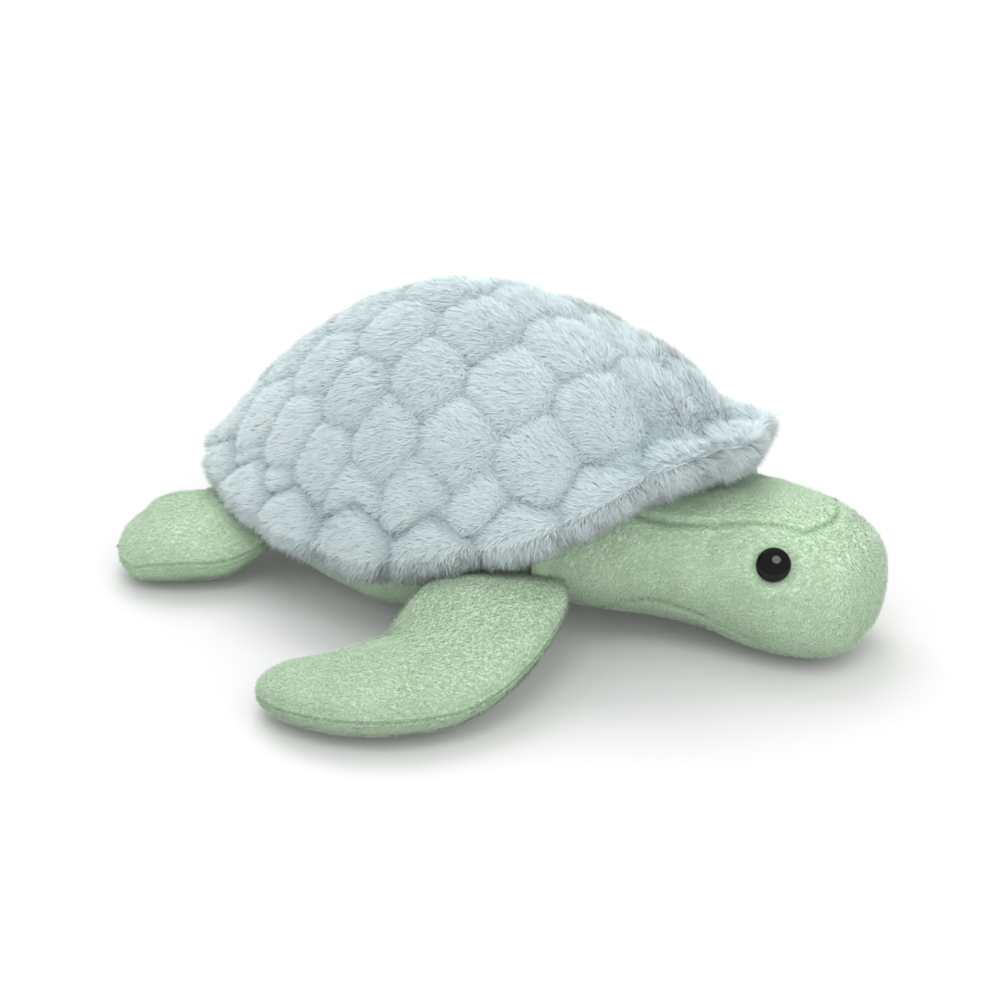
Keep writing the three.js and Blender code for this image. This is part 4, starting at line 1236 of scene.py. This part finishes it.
class TURTLE_OT_belly(TurtleOperator, bpy.types.Operator):
    """Rounded belly under the shell, in short green pile"""

    bl_idname = "turtle.belly"
    bl_label = "Belly"

    def build(self, shell, skin):
        share = np.linspace(0, BELLY_LAST, BELLY_RINGS)[:, None]
        made = closed_surface(belly_point(shell, skin, turns(BELLY_AROUND)[None, :], share))
        normals = surface_normals(made)
        draw_in(made, normals, skin.pile_stand)
        seam = np.full(len(made["points"]), 1.0)
        green_fields(skin, made, normals, seam, BELLY_NAP, BELLY_CLOUDS)
        made["weight"] = np.where(made["points"][:, 2] > BELLY_BARE, 1.0, 0.0)
        made["weight"][-2:] = 0
        backing = backing_material("knitted_polyester_backing_green", GREEN_GRAIN)
        base = skin_object("belly_skin", made, backing)
        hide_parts("belly_panel")
        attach(base, "body")
        pile = lock_material("short_pile_polyester_plush", PILE_SHEEN)
        density = skin.pile_density * BELLY_PILE_SHARE
        for piece in pile_locks("belly_pile", skin, made, density, BELLY_SEED, pile):
            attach(piece, "body")


class TURTLE_OT_head(TurtleOperator, bpy.types.Operator):
    """Head of two cheeks, a crown gusset and a chin gusset, with the neck that joins it to the body"""

    bl_idname = "turtle.head"
    bl_label = "Head"

    def build(self, shell, skin):
        share = crowded(HEAD_RINGS, HEAD_LAST, HEAD_CROWDING)
        grid = head_point(skin, share[:, None], turns(HEAD_AROUND)[None, :])
        made = closed_surface(grid, last=head_point(skin, np.array(1.0), 0.0))
        crown = seam_line(skin, CROWN_WIDTH_SHARES, CROWN_END, True)
        chin = seam_line(skin, CHIN_WIDTH_SHARES, CHIN_END, False)
        gap = np.min([distance_to_line(made["points"], line) for line in (crown, chin)], axis=0)
        draw_in(made, surface_normals(made), skin.pile_stand + skin.slack)
        held = smoothstep(*HEAD_HELD, made["points"][:, 0])
        held = np.maximum(held, smoothstep(*FLOOR_HELD, made["points"][:, 2]))
        swell(made, held, HEAD_SWELL)
        sew(made, gap, SEAM_DEPTH, SEAM_REACH)
        self.press_eyes(skin, made)
        normals = surface_normals(made)
        ahead = np.maximum(normals[:, :1], 0)
        green_fields(skin, made, normals, gap, HEAD_NAP + ahead * NOSE_NAP, HEAD_CLOUDS)
        # Painted shade: the pile is tinted darker towards the neck root, under the shell's rim.
        shade = NECK_PAINTED_SHADE + (1 - NECK_PAINTED_SHADE) * smoothstep(*NECK_PAINTED_SHADE_REACH, made["points"][:, 0])
        made["tint"] = made["tint"] * shade[:, None]
        backing = backing_material("knitted_polyester_backing_head", GREEN_GRAIN)
        pile = lock_material("short_pile_polyester_plush_head", PILE_SHEEN)
        pivot = np.array(JOINTS["neck_nod"]["pos_m"])
        bend = np.array([NECK_BEND, 0, 0])
        middle, front = pivot + bend * NECK_MIDDLE, pivot + bend * NECK_FRONT
        stretches = (
            ("neck_back", -math.inf, middle[0], ("body", "neck", pivot - bend, middle)),
            ("neck_front", middle[0], front[0], ("neck", "head", middle, front)),
            ("head", front[0], math.inf, None),
        )
        for index, (name, low, high, bending) in enumerate(stretches):
            part = stretch_of(made, low, high)
            part["weight"] = np.where(part["points"][:, 0] > PILE_START, 1.0, 0.0)
            base = skin_object(f"{name}_skin", part, backing)
            seed = HEAD_SEED + index
            grown = pile_locks(f"{name}_pile", skin, part, skin.pile_density, seed, pile)
            for piece in [base, *grown]:
                if bending:
                    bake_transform(piece)
                else:
                    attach(piece, "head")
            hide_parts(*NECK_NODES[name])

    def press_eyes(self, skin, made):
        """Draws the cloth in round each eye, where the washer pulls it, by a bell curve off its edge."""
        for sign in (1, -1):
            centre, normal = eye_seat(skin, sign)
            gap = np.linalg.norm(made["points"] - np.array(centre), axis=1)
            pull = EYE_PULL * bell(np.maximum(gap - skin.eye_radius, 0), EYE_PULL_REACH)
            made["points"] = made["points"] - np.array(normal) * pull[:, None]


def stretch_of(made, low, high):
    """The part of a skin whose faces have their middle between two places along X."""
    part = dict(made)
    for key in ("quads", "caps", "triangles"):
        middle = made["points"][made[key], 0].mean(axis=1)
        part[key] = made[key][(middle >= low) & (middle < high)]
    used = np.unique(np.concatenate([part["quads"].ravel(), part["caps"].ravel()]))
    renumber = np.zeros(len(made["points"]), int)
    renumber[used] = np.arange(len(used))
    for key in ("quads", "caps", "triangles"):
        part[key] = renumber[part[key]]
    for key in ("points", "normals", "comb", "length", "tint", "weight", "stand"):
        part[key] = made[key][used]
    return part


def eye_seat(skin, sign):
    """Where an eye sits on the head's side, and the cloth's normal there, from the head's sections."""
    xs, middles, talls, wides = head_sections(skin, np.linspace(0, 1, SEAT_SAMPLES))
    x = skin.head_root + (skin.nose_reach - skin.head_root) * EYE_ALONG_SHARE
    z = skin.head_height * EYE_HEIGHT_SHARE

    def width(at_x, at_z):
        middle, tall, wide = (np.interp(at_x, xs, field) for field in (middles, talls, wides))
        return wide * oval((at_z - middle) / tall)

    r = skin.eye_radius
    slope_x = (width(x + r, z) - width(x - r, z)) / (2 * r)
    slope_z = (width(x, z + r) - width(x, z - r)) / (2 * r)
    normal = Vector((-slope_x, sign, -slope_z)).normalized()
    return Vector((x, width(x, z) * sign, z)) - normal * EYE_SINK, normal


class TURTLE_OT_eyes(TurtleOperator, bpy.types.Operator):
    """Domed safety eyes, with their washers behind the cloth"""

    bl_idname = "turtle.eyes"
    bl_label = "Eyes"

    def build(self, shell, skin):
        gloss, plain = eye_material(), washer_material()
        for side in ("left", "right"):
            self.button(skin, side, gloss)
            washer = frame["nodes"][f"eye_washer_{side}"]
            washer.data.materials.clear()
            washer.data.materials.append(plain)

    def button(self, skin, side, material):
        """A revolved dome: a short upright rim and a quarter ellipse over it, on the axis of the eye's
        seat on the head.
        """
        centre, normal = eye_seat(skin, 1 if side == "left" else -1)
        r = skin.eye_radius
        t = np.linspace(0, math.pi / 2, EYE_RINGS)
        over = EYE_TOP + (skin.eye_bulge - EYE_TOP) * np.sin(t[:-1])
        profile_r = np.concatenate([[r * EYE_BACK_SHARE, r], r * np.cos(t[:-1])])[:, None]
        profile_z = np.concatenate([[EYE_BACK, EYE_RIM], over])[:, None]
        angle = turns(EYE_AROUND)
        dome = xyz(profile_r * np.cos(angle), profile_r * np.sin(angle), profile_z)
        turn = np.array(normal.to_track_quat("Z", "Y").to_matrix())
        parts = dome, xyz(0, 0, EYE_BACK), xyz(0, 0, skin.eye_bulge)
        made = closed_surface(*(part @ turn.T + np.array(centre) for part in parts))
        surface_normals(made)
        made["tint"] = np.zeros((len(made["points"]), 3))
        eye = skin_object(f"safety_eye_{side}", made, material)
        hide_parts(f"eye_{side}")
        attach(eye, "head")


FLIPPERS = {
    "front": {
        "reach": 56 * MM,
        "sweep": 80.5 * MM,
        "half_width": 32 * MM,
        "half_height": 14 * MM,
        "tip_height": 10 * MM,
        # Painted shade: the front flippers' pile is tinted darker than the same cloth on the head.
        "tone": 0.88,
        "out_shares": [0, 0.4, 0.83, 0.98, 0.85, 0.63],
        "back_shares": [0, 0.1, 0.31, 0.6, 0.84, 1],
    },
    "rear": {
        "reach": 57 * MM,
        "sweep": 9 * MM,
        "half_width": 31 * MM,
        "half_height": 15.5 * MM,
        "tip_height": 12 * MM,
        # Painted shade: the rear flippers' pile is tinted a little darker.
        "tone": 0.97,
        "out_shares": [0, 0.34, 0.68, 1],
        "back_shares": [0, 0.1, 0.4, 1],
    },
}
STATION_SHARES = [0, 0.05, 0.14, 0.28, 0.44, 0.6, 0.75, 0.87, 0.96, 1]
LIMB_WIDTH_SHARES = [0.74, 0.83, 0.96, 1.02, 1.01, 0.97, 0.87, 0.71, 0.42, 0]
LIMB_HEIGHT_SHARES = [0.3, 0.55, 0.82, 1, 1.03, 1.03, 0.95, 0.75, 0.44, 0]
LIMB_DROP_SHARES = [0, 0.03, 0.14, 0.45, 0.78, 0.95, 1, 1, 1, 1]
LIMB_RISE_POWER = 0.8
LIMB_EASING = 60
LIMB_RINGS, LIMB_AROUND, LIMB_LAST, LIMB_CROWDING = 110, 120, 0.997, 1.35
SQUARE_SHARE = 0.3
ROOT_HELD, LOOSE_FROM, LOOSE_TO = (0.16, 0.08), (0.1, 0.2), (0.9, 0.75)
HINGE_OVERLAP, OVERLAP_POWER, LIMB_SAMPLES = 4 * MM, 8, 400
LIMB_SINK, EDGE_WIDTH_SHARE = 0.5 * MM, 0.9


class TURTLE_OT_flippers(TurtleOperator, bpy.types.Operator):
    """Four stuffed flippers, each of a top and a bottom panel sewn at the edge"""

    bl_idname = "turtle.flippers"
    bl_label = "Flippers"

    def build(self, shell, skin):
        backing = backing_material("knitted_polyester_backing_flippers", GREEN_GRAIN)
        pile = lock_material("short_pile_polyester_plush_flippers", PILE_SHEEN)
        for index in range(4):
            place, side = ("front", "rear")[index // 2], ("left", "right")[index % 2]
            self.flipper(skin, place, side, index, backing, pile)

    def flipper(self, skin, place, side, index, backing, pile):
        limb = FLIPPERS[place]
        joint = JOINTS[f"{place}_{side}_flap"]
        made, out, middle = limb_surface(limb, joint, 1 if side == "left" else -1)
        held = np.maximum(smoothstep(*EDGE_HELD, made["edge"]), made["root"])
        draw_in(made, surface_normals(made), (skin.pile_stand + skin.slack * (1 - held))[:, None])
        swell(made, held, FLIPPER_SWELL)
        sew(made, made["edge"], EDGE_DEPTH, EDGE_REACH)
        nap, clouds = made["flow"] + FLIPPER_NAP, FLIPPER_CLOUDS + index
        green_fields(skin, made, surface_normals(made), made["edge"], nap, clouds)
        # Painted shade: the pile darkened by the flipper's tone.
        made["tint"] = made["tint"] * limb["tone"]
        made["weight"] = np.where(made["points"][:, 2] > FLIPPER_BARE, 1.0, BARE_DENSITY)
        body = f"{place}_{side}_flipper"
        base = skin_object(f"{body}_skin", made, backing)
        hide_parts(f"{body}_top", f"{body}_bottom", f"{body}_stuffing")
        seed = FLIPPER_SEED + index
        grown = pile_locks(f"{body}_pile", skin, made, skin.pile_density, seed, pile)
        for piece in [base, *grown]:
            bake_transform(piece)


def limb_surface(limb, joint, side):
    """A flipper as a skin: oval sections square to a curved middle line, pinched at the sewn edge.

    The middle line leaves the hinge outwards and sweeps back; width, height and drop are smooth
    curves of the share along it, and the sections turn square to the hinge near the root.
    """
    middle = np.array(joint["pos_m"], float)
    axis = np.array(joint["axis"], float)
    out = np.array([-axis[1], axis[0], 0.0])
    back = side * np.array([-out[1], out[0], 0.0])
    t = np.linspace(0, 1, LIMB_SAMPLES)
    reach = through(limb["out_shares"], t) * limb["reach"] - HINGE_OVERLAP * (1 - t) ** OVERLAP_POWER
    sweep = through(limb["back_shares"], t) * limb["sweep"]
    line = middle + out * reach[:, None] + back * sweep[:, None]
    run = np.concatenate([[0], np.cumsum(np.linalg.norm(np.diff(line, axis=0), axis=1))])
    u = crowded(LIMB_RINGS, LIMB_LAST, LIMB_CROWDING)
    at = np.interp(u, STATION_SHARES, np.linspace(0, 1, len(STATION_SHARES)))
    centre = np.stack([np.interp(u * run[-1], run, line[:, k]) for k in range(3)], axis=1)
    ahead = unit(np.gradient(centre, axis=0))
    square = np.clip(1 - u / SQUARE_SHARE, 0, 1)[:, None]
    sideways = side * xyz(-ahead[:, 1], ahead[:, 0], 0.0)
    sideways = unit(sideways * (1 - square) + back * square)
    wide = limb["half_width"] * np.maximum(through(LIMB_WIDTH_SHARES, at), 0)
    tall = limb["half_height"] * np.maximum(through(LIMB_HEIGHT_SHARES, at), 0)
    level = middle[2] + (limb["tip_height"] - middle[2]) * through(LIMB_DROP_SHARES, at)
    level = np.maximum(level, tall - LIMB_SINK)
    angle = turns(LIMB_AROUND)
    across = (wide[:, None] * np.cos(angle))[..., None]
    grid = centre[:, None, :] * np.array([1, 1, 0]) + sideways[:, None, :] * across
    loose = (smoothstep(*LOOSE_FROM, u) * smoothstep(*LOOSE_TO, u))[1:-1, None, None]
    for _ in range(LIMB_EASING):
        eased = (grid[:-2, :, :2] + 2 * grid[1:-1, :, :2] + grid[2:, :, :2]) / 4
        grid[1:-1, :, :2] += (eased - grid[1:-1, :, :2]) * loose
    rise = signed_power(np.sin(angle), LIMB_RISE_POWER)
    grid[..., 2] = np.maximum(level[:, None] + tall[:, None] * rise, 0)
    made = closed_surface(grid, last=np.append(line[-1, :2], level[-1]))
    off_edge = np.abs(np.sin(angle))
    edge = wide[:, None] * off_edge * EDGE_WIDTH_SHARE + tall[:, None] * off_edge
    root = np.repeat(smoothstep(*ROOT_HELD, u)[:, None], LIMB_AROUND, axis=1)
    made["edge"] = with_poles(edge, 1.0, 0.0)
    made["root"] = with_poles(root, 1.0, 0.0)
    made["flow"] = with_poles(np.repeat(ahead[:, None, :], LIMB_AROUND, axis=1), ahead[0], ahead[-1])
    return made, out, middle


OPERATORS = (
    TURTLE_OT_stage,
    TURTLE_OT_shell,
    TURTLE_OT_belly,
    TURTLE_OT_head,
    TURTLE_OT_eyes,
    TURTLE_OT_flippers,
)


class TURTLE_PT_panel(bpy.types.Panel):
    """Lists the turtle's operators and settings in the sidebar"""

    bl_idname = "TURTLE_PT_panel"
    bl_label = "Plush Sea Turtle"
    bl_space_type = "VIEW_3D"
    bl_region_type = "UI"
    bl_category = "Turtle"

    def draw(self, context):
        for operator in OPERATORS:
            self.layout.operator(operator.bl_idname)
        for group in SETTINGS:
            settings = getattr(context.scene, group)
            box = self.layout.box()
            for name in settings.__annotations__:
                box.prop(settings, name)


CLASSES = (*SETTINGS.values(), *OPERATORS, TURTLE_PT_panel)


def register():
    for item in CLASSES:
        bpy.utils.register_class(item)
    for name, group in SETTINGS.items():
        setattr(bpy.types.Scene, name, bpy.props.PointerProperty(type=group))


def unregister():
    for name in SETTINGS:
        delattr(bpy.types.Scene, name)
    for item in reversed(CLASSES):
        bpy.utils.unregister_class(item)


def main():
    """Registers the add-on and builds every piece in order."""
    register()
    bpy.ops.turtle.stage()
    bpy.ops.turtle.shell()
    bpy.ops.turtle.belly()
    bpy.ops.turtle.head()
    bpy.ops.turtle.eyes()
    bpy.ops.turtle.flippers()


if __name__ == "__main__":
    main()
